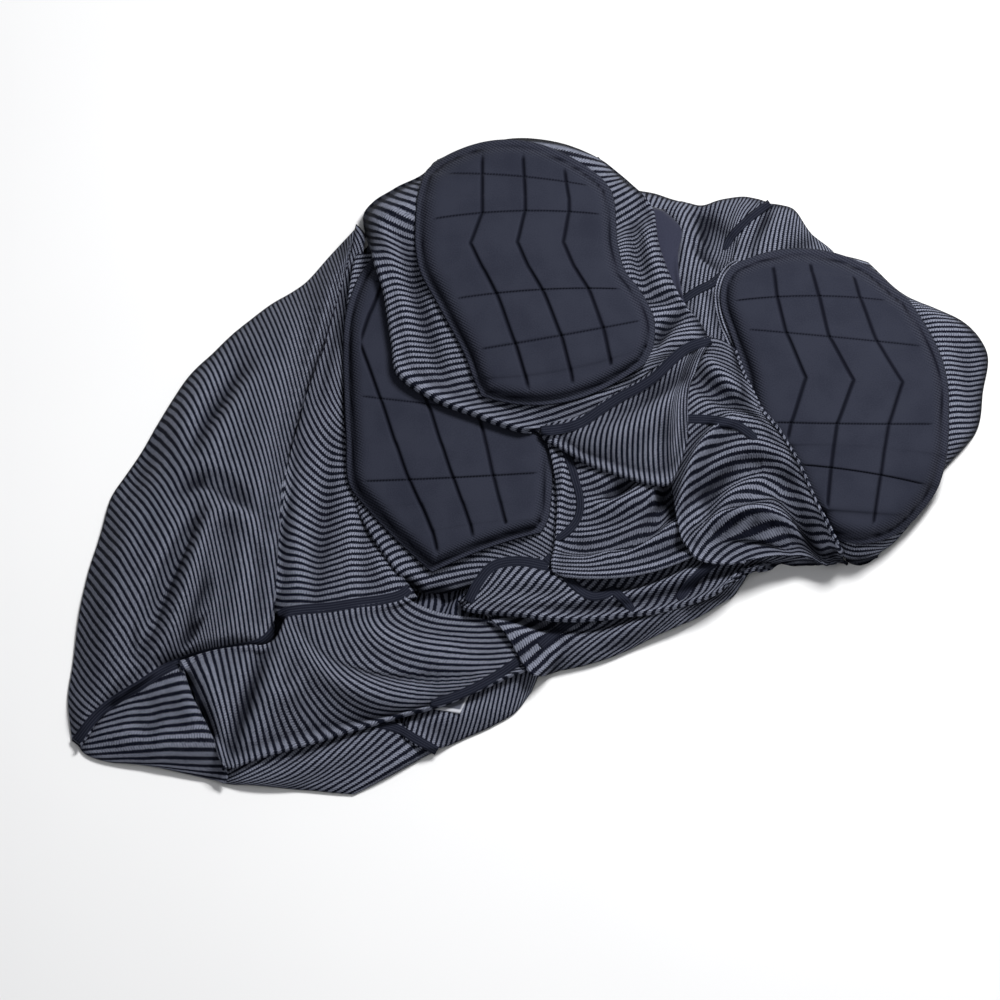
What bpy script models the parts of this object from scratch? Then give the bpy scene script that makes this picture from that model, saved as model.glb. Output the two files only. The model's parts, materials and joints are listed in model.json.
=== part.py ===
"""Padded compression shirt, dropped in a loose heap on a flat surface.

Every visible panel is its own sheet, lofted through a short table of sections
that run along its stripes.  A spot in a table is a column and a row of the
front view (one step is SPAN wide) and a height above the surface in mm.
The sheets are laid from the bottom of the heap to the top.
"""

from math import acos, atan2, cos, exp, hypot, pi, radians, sin

import bmesh
import bpy
from mathutils import Vector
from mathutils.bvhtree import BVHTree

MM = 0.001

# The heap and the view that its tables are read in
HEAP_WIDTH = 570 * MM
LEFT_COLUMN = 68
RIGHT_COLUMN = 986
CENTRE_COLUMN = 527
CENTRE_ROW = 465
SPAN = HEAP_WIDTH / (RIGHT_COLUMN - LEFT_COLUMN)
VIEW_TILT = radians(55)
VIEW_DIRECTION = Vector((0, cos(VIEW_TILT), -sin(VIEW_TILT)))
VIEW_DISTANCE = 1.0

# The cloth
WALL = 1.5 * MM
GAP = 0.3 * MM
CELL = 13 * MM
EDGE_DROP = 10
LAYER_STEP = 0.25 * MM
LAYER_TRIES = 120

# The quilted pads
PAD_RISE = 11 * MM
PAD_FLANGE = 1.6 * MM
GROOVE_DEPTH = 5 * MM
GROOVE_HALF = 2.6 * MM
GROOVE_SHARE = 0.028

# The hidden layers, from the top's middle down to the flat underside: each
# ring's share of the way to the edge, and the greatest height there
CORE_SPOKES = 56
CORE_RINGS = (
    (0.15, None), (0.3, None), (0.44, None), (0.57, None), (0.69, None),
    (0.79, None), (0.87, None), (0.93, None), (0.965, None),
    (0.975, 4.2 * MM), (0.985, 4.0 * MM), (1.0, 1.8 * MM), (1.0, 0.0), (0.9, 0.0),
)
CORE_INSET = 18
CORE_MARGIN = 0.8 * MM
CORE_LOWEST = 0.5 * MM
CORE_HIGHEST = 60 * MM
CORE_CENTRE = (500, 500)
CORE_LOOKS = 10
CORE_LOOK_REACH = 26
CORE_STEP = 0.8 * MM

NAVY = (0.043, 0.047, 0.075)
STRIPED = (0.075, 0.080, 0.105)
SEAM_NAVY = (0.018, 0.019, 0.033)

# Section rows: start column, row, height; middle column, row, height;
# end column, row, height.  Hug: widths in mm over which the sheet comes down
# to what it lies on, at the start side, end side, first and last section.
# Drop: how far its edges may come down, in mm, where it isn't EDGE_DROP.
# Fold rows: start column, row; end column, row; half width in mm; height in mm.
PANELS = {
    "hem_flap": {
        "hug": (8, 0, 0, 8),
        "sections": [
            (214, 774, 4, 228, 764, 7, 246, 752, 8),
            (223, 783, 3, 262, 768, 8, 302, 734, 9),
            (262, 787, 3, 312, 769, 8, 362, 716, 10),
            (305, 790, 3, 350, 765, 8, 398, 722, 9),
            (335, 793, 3, 374, 768, 8, 417, 737, 8),
            (354, 794, 3, 392, 775, 6, 435, 751, 4),
        ],
        "folds": [(250, 782, 390, 728, 7, 3)],
    },
    "label_flap": {
        "hug": (0, 8, 6, 6),
        "sections": [
            (396, 716, 8, 416, 732, 6, 438, 748, 3),
            (424, 698, 10, 440, 722, 8, 454, 744, 3),
            (460, 686, 12, 470, 712, 8, 481, 731, 3),
            (500, 672, 12, 505, 700, 8, 513, 715, 3),
            (534, 662, 10, 534, 680, 7, 531, 693, 3),
        ],
        "folds": [],
    },
    "hem_back": {
        "hug": (9, 0, 0, 8),
        "sections": [
            (88, 700, 6, 145, 680, 18, 182, 658, 20),
            (80, 724, 5, 138, 704, 16, 196, 688, 19),
            (77, 744, 4, 132, 722, 14, 207, 710, 17),
            (84, 756, 3, 140, 738, 11, 216, 730, 15),
            (100, 763, 3, 155, 752, 8, 222, 750, 12),
            (134, 764, 3, 178, 763, 6, 228, 768, 8),
            (165, 769, 3, 195, 774, 4, 226, 783, 4),
        ],
        "folds": [(120, 742, 205, 735, 8, 4)],
    },
    "side_panel": {
        "hug": (0, 0, 6, 0),
        "sections": [
            (352, 226, 26, 361, 228, 27, 372, 226, 28),
            (334, 268, 28, 343, 275, 25, 357, 280, 28),
            (318, 330, 30, 330, 345, 24, 350, 345, 28),
            (305, 380, 30, 322, 405, 22, 352, 400, 27),
            (293, 426, 29, 318, 458, 21, 354, 445, 26),
            (282, 466, 28, 312, 508, 21, 360, 484, 26),
            (277, 500, 28, 312, 545, 22, 374, 514, 27),
            (275, 540, 27, 315, 578, 23, 394, 544, 27),
            (274, 575, 26, 330, 600, 23, 410, 572, 26),
            (273, 612, 25, 340, 620, 22, 420, 600, 24),
        ],
        "folds": [(292, 520, 400, 560, 7, 3), (286, 575, 400, 586, 7, 3)],
    },
    "back_panel": {
        "hug": (14, 3, 5, 8),
        "drop": 60,
        "sections": [
            (70, 742, 3, 76, 745, 4, 84, 746, 5),
            (68, 700, 4, 82, 716, 14, 101, 722, 14),
            (74, 655, 5, 96, 684, 22, 123, 702, 18),
            (80, 608, 6, 115, 650, 28, 150, 684, 21),
            (101, 533, 7, 146, 600, 35, 196, 664, 23),
            (142, 449, 9, 200, 545, 41, 270, 645, 25),
            (188, 378, 10, 244, 462, 43, 285, 548, 28),
            (241, 328, 12, 274, 388, 40, 290, 466, 30),
            (304, 284, 14, 313, 320, 35, 315, 376, 31),
            (334, 250, 16, 334, 276, 31, 333, 312, 30),
            (362, 221, 18, 358, 236, 26, 352, 252, 27),
        ],
        "folds": [
            (203, 515, 168, 655, 9, -6),
            (214, 430, 150, 560, 9, 4),
            (262, 470, 236, 600, 8, 4),
            (130, 560, 104, 680, 8, 3),
        ],
    },
    "hem_front": {
        "hug": (3, 9, 5, 0),
        "sections": [
            (178, 661, 20, 203, 708, 17, 224, 768, 6),
            (215, 650, 22, 230, 700, 20, 240, 760, 7),
            (262, 638, 24, 262, 690, 22, 275, 749, 7),
            (286, 613, 25, 300, 678, 24, 322, 735, 8),
            (306, 611, 25, 332, 680, 24, 372, 722, 10),
            (328, 608, 25, 366, 680, 25, 432, 706, 12),
            (352, 605, 24, 400, 672, 25, 476, 689, 13),
            (376, 602, 24, 426, 655, 24, 508, 675, 14),
            (398, 599, 24, 447, 640, 22, 534, 668, 14),
            (412, 592, 24, 464, 622, 21, 550, 652, 15),
            (436, 584, 23, 486, 606, 20, 560, 638, 16),
        ],
        "folds": [
            (262, 650, 232, 755, 8, -6),
            (300, 640, 352, 715, 9, 4),
            (352, 650, 440, 690, 8, 3),
        ],
    },
    "lower_pad_panel": {
        "hug": (9, 0, 0, 9),
        "sections": [
            (357, 254, 30, 420, 252, 32, 490, 262, 32),
            (339, 300, 31, 420, 298, 34, 515, 308, 33),
            (335, 350, 31, 430, 352, 35, 536, 360, 34),
            (336, 410, 31, 430, 420, 35, 556, 420, 34),
            (339, 470, 30, 432, 482, 35, 562, 470, 33),
            (358, 516, 28, 452, 526, 34, 566, 520, 31),
            (392, 557, 26, 472, 560, 31, 560, 556, 27),
            (426, 591, 22, 466, 588, 26, 512, 572, 24),
        ],
        "folds": [],
    },
    "shoulder_panel": {
        "hug": (12, 0, 0, 0),
        "drop": 60,
        "sections": [
            (634, 190, 28, 648, 225, 38, 668, 282, 42),
            (662, 197, 22, 668, 235, 36, 684, 306, 42),
            (690, 203, 16, 690, 240, 32, 699, 296, 40),
            (716, 200, 14, 708, 235, 30, 716, 290, 38),
            (742, 198, 12, 730, 228, 24, 729, 272, 34),
            (766, 202, 11, 748, 226, 20, 742, 262, 28),
        ],
        "folds": [(700, 214, 672, 290, 7, 5), (728, 212, 712, 262, 6, -3)],
    },
    "shoulder_yoke": {
        "hug": (9, 0, 3, 6),
        "sections": [
            (758, 203, 12, 742, 232, 21, 734, 270, 30),
            (773, 205, 11, 767, 232, 20, 765, 266, 28),
            (791, 208, 10, 789, 234, 18, 790, 262, 26),
            (807, 226, 9, 810, 242, 15, 815, 260, 22),
            (832, 250, 8, 838, 258, 11, 842, 266, 15),
        ],
        "folds": [],
    },
    "shoulder_strip": {
        "hug": (0, 0, 0, 0),
        "sections": [
            (678, 300, 41, 689, 324, 41, 704, 350, 40),
            (694, 291, 41, 702, 316, 41, 713, 350, 39),
            (710, 282, 40, 712, 312, 40, 723, 350, 38),
            (727, 270, 38, 726, 300, 38, 738, 346, 37),
        ],
        "folds": [],
    },
    "right_pad_panel": {
        "hug": (0, 12, 4, 6),
        "sections": [
            (731, 264, 33, 800, 252, 28, 868, 262, 16),
            (720, 290, 36, 810, 284, 35, 908, 298, 13),
            (722, 322, 37, 830, 322, 37, 962, 322, 9),
            (740, 352, 38, 845, 356, 39, 987, 352, 8),
            (752, 392, 38, 855, 400, 38, 983, 392, 8),
            (764, 424, 37, 862, 440, 35, 976, 432, 8),
            (790, 455, 34, 865, 480, 31, 942, 472, 6),
            (815, 500, 30, 862, 518, 25, 916, 516, 6),
            (830, 530, 25, 862, 544, 18, 896, 541, 5),
            (846, 560, 13, 860, 561, 9, 878, 556, 5),
        ],
        "folds": [(938, 318, 960, 432, 7, 4)],
    },
    "cuff_under": {
        "hug": (9, 0, 3, 6),
        "sections": [
            (466, 604, 22, 500, 600, 22, 532, 598, 21),
            (500, 626, 18, 538, 612, 20, 584, 598, 21),
            (532, 674, 5, 576, 636, 15, 628, 598, 19),
            (562, 671, 4, 612, 634, 13, 668, 590, 17),
            (602, 661, 4, 647, 628, 11, 700, 586, 15),
            (646, 642, 4, 682, 616, 10, 726, 582, 13),
            (692, 622, 4, 717, 600, 9, 745, 572, 9),
            (731, 598, 3, 741, 586, 6, 756, 560, 7),
        ],
        "folds": [(580, 655, 690, 598, 7, 4), (640, 632, 730, 580, 6, 3)],
    },
    "sleeve_bottom": {
        "hug": (6, 0, 5, 6),
        "sections": [
            (458, 602, 25, 466, 585, 27, 478, 566, 28),
            (486, 610, 24, 498, 582, 29, 512, 550, 30),
            (520, 614, 23, 540, 586, 28, 560, 552, 30),
            (565, 616, 21, 585, 586, 27, 610, 550, 29),
            (610, 613, 19, 636, 590, 26, 664, 556, 28),
            (655, 606, 16, 680, 584, 22, 708, 550, 26),
            (704, 597, 12, 728, 576, 18, 754, 540, 23),
            (750, 567, 8, 778, 556, 13, 804, 544, 18),
            (796, 560, 5, 818, 563, 9, 840, 568, 10),
        ],
        "folds": [(530, 600, 620, 566, 7, 3), (630, 598, 750, 558, 7, 4)],
    },
    "sleeve_under": {
        "hug": (5, 0, 0, 5),
        "sections": [
            (546, 430, 36, 592, 452, 36, 650, 470, 35),
            (556, 462, 35, 604, 480, 35, 664, 496, 35),
            (558, 496, 34, 608, 512, 34, 676, 522, 34),
            (556, 528, 32, 612, 538, 32, 690, 548, 31),
            (552, 560, 29, 616, 566, 29, 700, 574, 27),
        ],
        "folds": [(600, 500, 668, 560, 7, 5), (640, 482, 690, 540, 6, -4)],
    },
    "sleeve_centre": {
        "hug": (0, 4, 0, 7),
        "sections": [
            (684, 350, 40, 708, 342, 40, 736, 346, 39),
            (672, 392, 40, 708, 384, 41, 750, 388, 39),
            (668, 430, 39, 715, 418, 42, 764, 418, 39),
            (677, 470, 37, 725, 452, 41, 792, 454, 37),
            (674, 515, 34, 732, 490, 39, 814, 494, 34),
            (684, 545, 30, 750, 522, 34, 828, 524, 29),
            (704, 560, 26, 768, 546, 27, 846, 548, 19),
            (724, 566, 20, 790, 562, 16, 852, 566, 9),
        ],
        "folds": [
            (719, 429, 678, 522, 6, 6),
            (727, 484, 836, 568, 7, 6),
            (782, 487, 828, 565, 5, -5),
        ],
    },
    "gusset": {
        "hug": (0, 3, 3, 3),
        "sections": [
            (646, 206, 42, 654, 207, 42, 664, 210, 41),
            (648, 226, 45, 663, 226, 44, 680, 229, 42),
            (650, 250, 46, 664, 250, 46, 677, 252, 43),
            (656, 275, 47, 668, 274, 46, 678, 276, 44),
            (668, 300, 47, 677, 300, 46, 685, 306, 44),
        ],
        "folds": [],
    },
    "upper_panel": {
        "hug": (9, 7, 14, 0),
        "drop": 60,
        "sections": [
            (438, 160, 30, 520, 138, 34, 598, 158, 32),
            (405, 186, 40, 520, 176, 47, 641, 193, 38),
            (366, 213, 43, 510, 216, 53, 653, 224, 46),
            (368, 236, 45, 508, 246, 55, 653, 250, 48),
            (386, 285, 46, 518, 292, 57, 674, 300, 49),
            (393, 335, 47, 532, 336, 57, 704, 330, 49),
            (405, 380, 47, 548, 372, 55, 708, 345, 48),
            (440, 397, 46, 562, 393, 52, 662, 368, 48),
            (485, 416, 45, 572, 412, 48, 625, 394, 46),
            (540, 429, 43, 560, 427, 44, 584, 421, 44),
        ],
        "folds": [(640, 262, 700, 322, 6, 3)],
    },
    "centre_flap": {
        "hug": (3, 7, 4, 4),
        "sections": [
            (546, 424, 44, 543, 428, 43, 538, 432, 41),
            (578, 414, 48, 574, 432, 47, 566, 447, 40),
            (608, 396, 50, 602, 434, 50, 592, 462, 39),
            (638, 378, 51, 632, 430, 52, 617, 469, 39),
            (660, 360, 51, 657, 422, 52, 643, 478, 39),
            (680, 344, 50, 677, 408, 50, 670, 478, 38),
            (710, 336, 48, 696, 385, 46, 688, 440, 39),
        ],
        "folds": [(668, 372, 640, 470, 6, 3)],
    },
}

# Pad rows: left column, row and right column, row of the raised face,
# kink of the lengthwise grooves to the side, crosswise groove (1) or not (0).
# Rims: the flange beyond the face at the left, right, top and bottom.
PADS = {
    "pad_upper": {
        "rows": [
            (447, 160, 592, 168, 0, 0),
            (437, 172, 606, 186, 0, 1),
            (436, 195, 604, 197, 0, 0),
            (436, 219, 602, 207, 0, 1),
            (435, 246, 602, 236, -10, 0),
            (446, 295, 624, 288, 0, 1),
            (462, 326, 636, 303, 0, 0),
            (475, 354, 640, 316, 0, 1),
            (492, 385, 636, 362, 0, 0),
        ],
        "rims": (13, 11, 8, 10),
    },
    "pad_right": {
        "rows": [
            (746, 268, 874, 274, 0, 0),
            (742, 300, 900, 296, 0, 1),
            (744, 314, 908, 318, 0, 0),
            (746, 330, 920, 346, 0, 1),
            (766, 378, 938, 384, 14, 0),
            (768, 422, 934, 424, 0, 1),
            (784, 440, 934, 452, 0, 0),
            (800, 462, 922, 482, 0, 1),
            (822, 516, 900, 526, 0, 0),
        ],
        "rims": (11, 10, 9, 10),
    },
    "pad_lower": {
        "rows": [
            (369, 268, 462, 282, 0, 0),
            (362, 282, 476, 300, 0, 1),
            (354, 306, 494, 322, 0, 0),
            (352, 336, 506, 346, -8, 0),
            (354, 392, 528, 410, 0, 1),
            (360, 436, 542, 440, 0, 0),
            (367, 484, 545, 474, 0, 1),
            (400, 528, 541, 502, 0, 0),
            (444, 562, 536, 531, 0, 0),
        ],
        "rims": (9, 8, 8, 9),
    },
}

# Label on the hem, outline columns and rows: upper left, upper right,
# lower left, lower right
LABEL_CORNERS = ((429, 692), (463, 696), (425, 706), (458, 711))
LABEL_THICKNESS = 1.0 * MM
LABEL_CELLS = 4

# The order in which the pieces lie on each other, lowest first
LAYERS = (
    "hem_flap", "label_flap", "label", "hem_back", "side_panel", "back_panel",
    "hem_front", "lower_pad_panel", "pad_lower", "shoulder_panel",
    "shoulder_yoke", "shoulder_strip", "right_pad_panel", "pad_right",
    "cuff_under", "sleeve_bottom", "sleeve_under", "sleeve_centre", "gusset",
    "upper_panel", "pad_upper", "centre_flap",
)

# Outline of the heap on the view: columns and rows, read round the edge
OUTLINE = (
    (68, 700), (79, 615), (101, 533), (142, 449), (188, 378), (241, 328),
    (304, 284), (363, 222), (427, 175), (476, 144), (538, 135), (591, 156),
    (641, 193), (699, 203), (756, 199), (793, 209), (822, 242), (880, 271),
    (937, 306), (985, 345), (983, 385), (976, 440), (940, 474), (914, 520),
    (889, 549), (838, 571), (782, 556), (743, 567), (735, 594), (672, 631),
    (616, 656), (560, 671), (530, 678), (520, 708), (448, 745), (351, 795),
    (280, 787), (193, 774), (134, 763), (83, 755),
)


def spot(column, row, height):
    """World point of a spot on the view that lies at the given height."""
    across = (column - CENTRE_COLUMN) * SPAN
    up_picture = (CENTRE_ROW - row) * SPAN
    back = (up_picture - height * cos(VIEW_TILT)) / sin(VIEW_TILT)
    return Vector((across, back, height))


def smooth_step(value):
    value = min(max(value, 0.0), 1.0)
    return value * value * (3 - 2 * value)


def bend(start, middle, end, share):
    """Point on the even curve through three spots."""
    first = 2 * (share - 0.5) * (share - 1)
    second = 4 * share * (1 - share)
    third = 2 * share * (share - 0.5)
    return [first * a + second * b + third * c for a, b, c in zip(start, middle, end)]


def through(rows, stations, station):
    """Smooth blend between the rows whose stations lie round the given one."""
    last = len(rows) - 1
    index = 0
    while index < last - 1 and station > stations[index + 1]:
        index += 1
    before = max(index - 1, 0)
    after = min(index + 2, last)
    step = stations[index + 1] - stations[index]
    share = (station - stations[index]) / step
    left_span = stations[index + 1] - stations[before]
    right_span = stations[after] - stations[index]
    square = share * share
    cube = square * share
    result = []
    for a, b, c, d in zip(rows[before], rows[index], rows[index + 1], rows[after]):
        leave = (c - a) / left_span * step
        arrive = (d - b) / right_span * step
        value = (2 * cube - 3 * square + 1) * b + (cube - 2 * square + share) * leave
        value += (3 * square - 2 * cube) * c + (cube - square) * arrive
        result.append(value)
    return result


def length_between(first, second):
    """Mean distance between two rows of columns, rows and heights."""
    spans = []
    for place in range(0, len(first), 3):
        a = spot(*first[place:place + 3])
        b = spot(*second[place:place + 3])
        spans.append((a - b).length)
    return sum(spans) / len(spans)


def loft_grid(sections, cell):
    """Grid of view spots over the sheet, and its size in cells."""
    rows = []
    for section in sections:
        row = [float(value) for value in section]
        for place in (2, 5, 8):
            row[place] *= MM
        rows.append(row)
    stations = [0.0]
    for first, second in zip(rows, rows[1:]):
        stations.append(stations[-1] + length_between(first, second))
    lengths = [(spot(*row[0:3]) - spot(*row[6:9])).length for row in rows]
    across = max(3, round(sum(lengths) / len(lengths) / cell))
    along = max(4, round(stations[-1] / cell))
    grid = []
    for step in range(along + 1):
        station = stations[-1] * step / along
        row = through(rows, stations, station)
        line = [bend(row[0:3], row[3:6], row[6:9], k / across) for k in range(across + 1)]
        grid.append(line)
    return grid


def fold_height(column, row, fold):
    """Height that one fold adds at a spot."""
    start_column, start_row, end_column, end_row, half_width, height = fold
    run = end_column - start_column
    fall = end_row - start_row
    length = hypot(run, fall)
    along = ((column - start_column) * run + (row - start_row) * fall) / length
    aside = ((column - start_column) * fall - (row - start_row) * run) / length
    spread = half_width * MM / SPAN
    fade = smooth_step(along / spread) * smooth_step((length - along) / spread)
    return height * MM * fade * exp(-(aside / spread) ** 2)


class Pile:
    """The pieces laid so far, as one surface that the next piece lies on."""

    def __init__(self):
        self.points = []
        self.faces = []
        self.tree = None

    def add(self, mesh):
        start = len(self.points)
        self.points += [vertex.co.copy() for vertex in mesh.vertices]
        mesh.calc_loop_triangles()
        for face in mesh.loop_triangles:
            self.faces.append([start + index for index in face.vertices])
        self.tree = BVHTree.FromPolygons(self.points, self.faces)

    def height(self, column, row):
        """Height of what shows at a spot of the view, or of the surface."""
        if self.tree is None:
            return 0.0
        start = spot(column, row, 0.0) - VIEW_DIRECTION * VIEW_DISTANCE
        place = self.tree.ray_cast(start, VIEW_DIRECTION)[0]
        return max(place.z, 0.0) if place else 0.0

    def height_near(self, column, row, reach):
        """Greatest height round a spot."""
        best = self.height(column, row)
        for turn in range(8):
            angle = turn * pi / 4
            for share in (0.5, 1.0):
                near_column = column + cos(angle) * reach * share
                near_row = row + sin(angle) * reach * share
                best = max(best, self.height(near_column, near_row))
        return best

    def low_height(self, column, row):
        """Height of the lowest underside over a spot, or None where it is bare."""
        start = spot(column, row, 0.0)
        place = self.tree.ray_cast(start, -VIEW_DIRECTION)[0]
        return place.z if place else None

    def touched(self, points, faces):
        """Numbers of the points whose faces meet a piece laid before."""
        if self.tree is None:
            return set()
        pairs = self.tree.overlap(BVHTree.FromPolygons(points, faces))
        return {index for pair in pairs for index in faces[pair[1]]}


def edge_share(line_count, spot_count, line, place, grid, hug):
    """How far a grid point is from the sides that come down, from 0 to 1."""
    start_hug, end_hug, first_hug, last_hug = hug
    here = spot(*grid[line][place])
    sides = (
        (start_hug, spot(*grid[line][0])),
        (end_hug, spot(*grid[line][spot_count - 1])),
        (first_hug, spot(*grid[0][place])),
        (last_hug, spot(*grid[line_count - 1][place])),
    )
    share = 1.0
    for width, side in sides:
        if width:
            share = min(share, (here - side).length / (width * MM))
    return smooth_step(share)


def new_object(name, mesh, collection, colour):
    piece = bpy.data.objects.new(name, mesh)
    material = bpy.data.materials.new(name)
    material.use_nodes = True
    shader = material.node_tree.nodes["Principled BSDF"]
    shader.inputs["Base Color"].default_value = (*colour, 1)
    shader.inputs["Roughness"].default_value = 0.85
    shader.inputs["Metallic"].default_value = 0.0
    mesh.materials.append(material)
    collection.objects.link(piece)
    return piece


def grid_mesh(name, across, along):
    """Flat grid whose vertices run line by line, its points not placed yet."""
    bm = bmesh.new()
    bmesh.ops.create_grid(bm, x_segments=across, y_segments=along, size=0.5)
    ordered = sorted(bm.verts, key=lambda vertex: (round(-vertex.co.y, 5), vertex.co.x))
    for index, vertex in enumerate(ordered):
        vertex.index = index
    bm.verts.sort()
    bmesh.ops.triangulate(bm, faces=bm.faces, quad_method="FIXED")
    mesh = bpy.data.meshes.new(name)
    bm.to_mesh(mesh)
    bm.free()
    return mesh


def rim_faces(spots, lines, count):
    """Triangles that join two grids' rims, the second numbered after the first."""
    ring = list(range(spots))
    ring += [line * spots + spots - 1 for line in range(1, lines)]
    ring += [(lines - 1) * spots + place for place in range(spots - 2, -1, -1)]
    ring += [line * spots for line in range(lines - 2, 0, -1)]
    faces = []
    for a, b in zip(ring, ring[1:] + ring[:1]):
        faces += [(a, b, b + count), (a, b + count, a + count)]
    return faces


def settle(pile, mesh, flat, spots, heights, depth):
    """Raise the spots until a layer of the given depth clears the pile."""
    count = len(flat)
    lines = count // spots
    faces = [tuple(face.vertices) for face in mesh.polygons]
    shell_faces = list(faces)
    shell_faces += [[index + count for index in face] for face in faces]
    shell_faces += rim_faces(spots, lines, count)
    for _ in range(LAYER_TRIES):
        place_points(mesh, [spot(s[0], s[1], h) for s, h in zip(flat, heights)])
        over = [vertex.co + vertex.normal * GAP for vertex in mesh.vertices]
        under = [vertex.co - vertex.normal * depth for vertex in mesh.vertices]
        touched = pile.touched(over + under, shell_faces)
        if not touched:
            break
        for index in {number % count for number in touched}:
            heights[index] += LAYER_STEP
    return [vertex.co.copy() for vertex in mesh.vertices]


def evaluated_mesh(piece):
    bpy.context.view_layer.update()
    graph = bpy.context.evaluated_depsgraph_get()
    return bpy.data.meshes.new_from_object(piece.evaluated_get(graph))


def place_points(mesh, points):
    for vertex, point in zip(mesh.vertices, points):
        vertex.co = point
    mesh.update()
    if sum(face.normal.z for face in mesh.polygons) < 0:
        mesh.flip_normals()
        mesh.update()


def lay_panel(name, pile, collection):
    """Loft the panel, lay it on the pile and give it its wall."""
    panel = PANELS[name]
    grid = loft_grid(panel["sections"], CELL)
    lines = len(grid)
    spots = len(grid[0])
    reach = 0.5 * CELL / SPAN
    clear = WALL + 2 * GAP
    heights = []
    for line in range(lines):
        for place in range(spots):
            column, row, height = grid[line][place]
            for fold in panel["folds"]:
                height += fold_height(column, row, fold)
            floor = pile.height_near(column, row, reach) + clear
            share = edge_share(lines, spots, line, place, grid, panel["hug"])
            drop = min(height - floor, panel.get("drop", EDGE_DROP) * MM)
            height -= drop * (1 - share)
            heights.append(max(height, floor))
    flat = [item for line in grid for item in line]
    mesh = grid_mesh(name, spots - 1, lines - 1)
    settle(pile, mesh, flat, spots, heights, WALL + GAP)
    colour = SEAM_NAVY if name == "gusset" else STRIPED
    piece = new_object(name, mesh, collection, colour)
    cloth = piece.modifiers.new("cloth", "SOLIDIFY")
    cloth.thickness = WALL
    cloth.offset = -1
    pile.add(evaluated_mesh(piece))


def close_pair(mesh, top, under):
    """Make the grid a closed solid between two sets of points."""
    bm = bmesh.new()
    bm.from_mesh(mesh)
    number = bm.verts.layers.int.new("number")
    for vertex in bm.verts:
        vertex[number] = vertex.index
    lifted = bmesh.ops.extrude_face_region(bm, geom=bm.faces[:], use_keep_orig=True)
    raised = [item for item in lifted["geom"] if isinstance(item, bmesh.types.BMVert)]
    for vertex in bm.verts:
        vertex.co = under[vertex[number]]
    for vertex in raised:
        vertex.co = top[vertex[number]]
    bmesh.ops.recalc_face_normals(bm, faces=bm.faces)
    bm.to_mesh(mesh)
    bm.free()


def smoothed(values, spots, lines, rounds):
    """Values of a grid, evened out with their neighbours."""
    for _ in range(rounds):
        even = []
        for line in range(lines):
            for place in range(spots):
                near = [values[line * spots + place]] * 2
                for step_line, step_place in ((-1, 0), (1, 0), (0, -1), (0, 1)):
                    other_line = min(max(line + step_line, 0), lines - 1)
                    other_place = min(max(place + step_place, 0), spots - 1)
                    near.append(values[other_line * spots + other_place])
                even.append(sum(near) / len(near))
        values = even
    return values


def pad_grid(pad):
    """Spots over the pad with the rise of each over its underside."""
    rows = [[float(value) for value in row] for row in pad["rows"]]
    left_rim, right_rim, top_rim, bottom_rim = pad["rims"]
    stations = [0.0]
    for first, second in zip(rows, rows[1:]):
        fall = hypot(second[0] - first[0], second[1] - first[1])
        fall += hypot(second[2] - first[2], second[3] - first[3])
        stations.append(stations[-1] + fall / 2)
    half = GROOVE_HALF / SPAN
    last = stations[-1]
    marks = [(-top_rim, 0), (-top_rim / 2, 0), (0.0, 1)]
    for row, station in zip(rows, stations):
        if row[5]:
            marks += [(station - half, 1), (station, 2), (station + half, 1)]
        elif 0 < station < last:
            marks.append((station, 1))
    marks += [(last, 1), (last + bottom_rim / 2, 0), (last + bottom_rim, 0)]
    across = [(-1.0, 0), (-0.5, 0), (0.0, 1)]
    for groove in (0.25, 0.5, 0.75):
        across += [(groove - 0.125, 1), (groove - GROOVE_SHARE, 1)]
        across += [(groove, 2), (groove + GROOVE_SHARE, 1)]
    across += [(0.875, 1), (1.0, 1), (1.5, 0), (2.0, 0)]
    grid = []
    rises = []
    for station, line_kind in marks:
        inside = min(max(station, 0.0), last)
        row = through(rows, stations, inside)
        beyond = station - inside
        slope = through(rows, stations, min(max(station, 4.0), last - 4.0))
        reach = (inside - min(max(station, 4.0), last - 4.0)) or 1.0
        for share, place_kind in across:
            flat_share = min(max(share, 0.0), 1.0)
            column = row[0] + (row[2] - row[0]) * flat_share
            line_row = row[1] + (row[3] - row[1]) * flat_share
            if beyond:
                other_column = slope[0] + (slope[2] - slope[0]) * flat_share
                other_row = slope[1] + (slope[3] - slope[1]) * flat_share
                column += (column - other_column) / reach * beyond
                line_row += (line_row - other_row) / reach * beyond
            if share < 0.0:
                column += left_rim * share
            elif share > 1.0:
                column += right_rim * (share - 1.0)
            elif 0.1 < share < 0.9:
                column += row[4]
            kind = min(line_kind, place_kind, 1) and max(line_kind, place_kind)
            grid.append((column, line_row))
            rises.append((PAD_FLANGE, PAD_RISE, PAD_RISE - GROOVE_DEPTH)[kind])
    return grid, rises, len(across), len(marks)


def lay_pad(name, pile, collection):
    """Quilted pad on the panel under it: grooves above, plain below."""
    grid, rises, spots, lines = pad_grid(PADS[name])
    reach = 0.35 * CELL / SPAN
    base = [pile.height_near(*place, reach) + 2 * GAP for place in grid]
    base = [max(pair) for pair in zip(base, smoothed(base, spots, lines, 6))]
    mesh = grid_mesh(name, spots - 1, lines - 1)
    under = settle(pile, mesh, grid, spots, base, GAP)
    even = smoothed(base, spots, lines, 4)
    top = []
    for place, low, high, rise in zip(grid, base, even, rises):
        height = max(high + rise, low + PAD_FLANGE)
        top.append(spot(*place, height))
    close_pair(mesh, top, under)
    new_object(name, mesh, collection, NAVY)
    pile.add(mesh)


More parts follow.
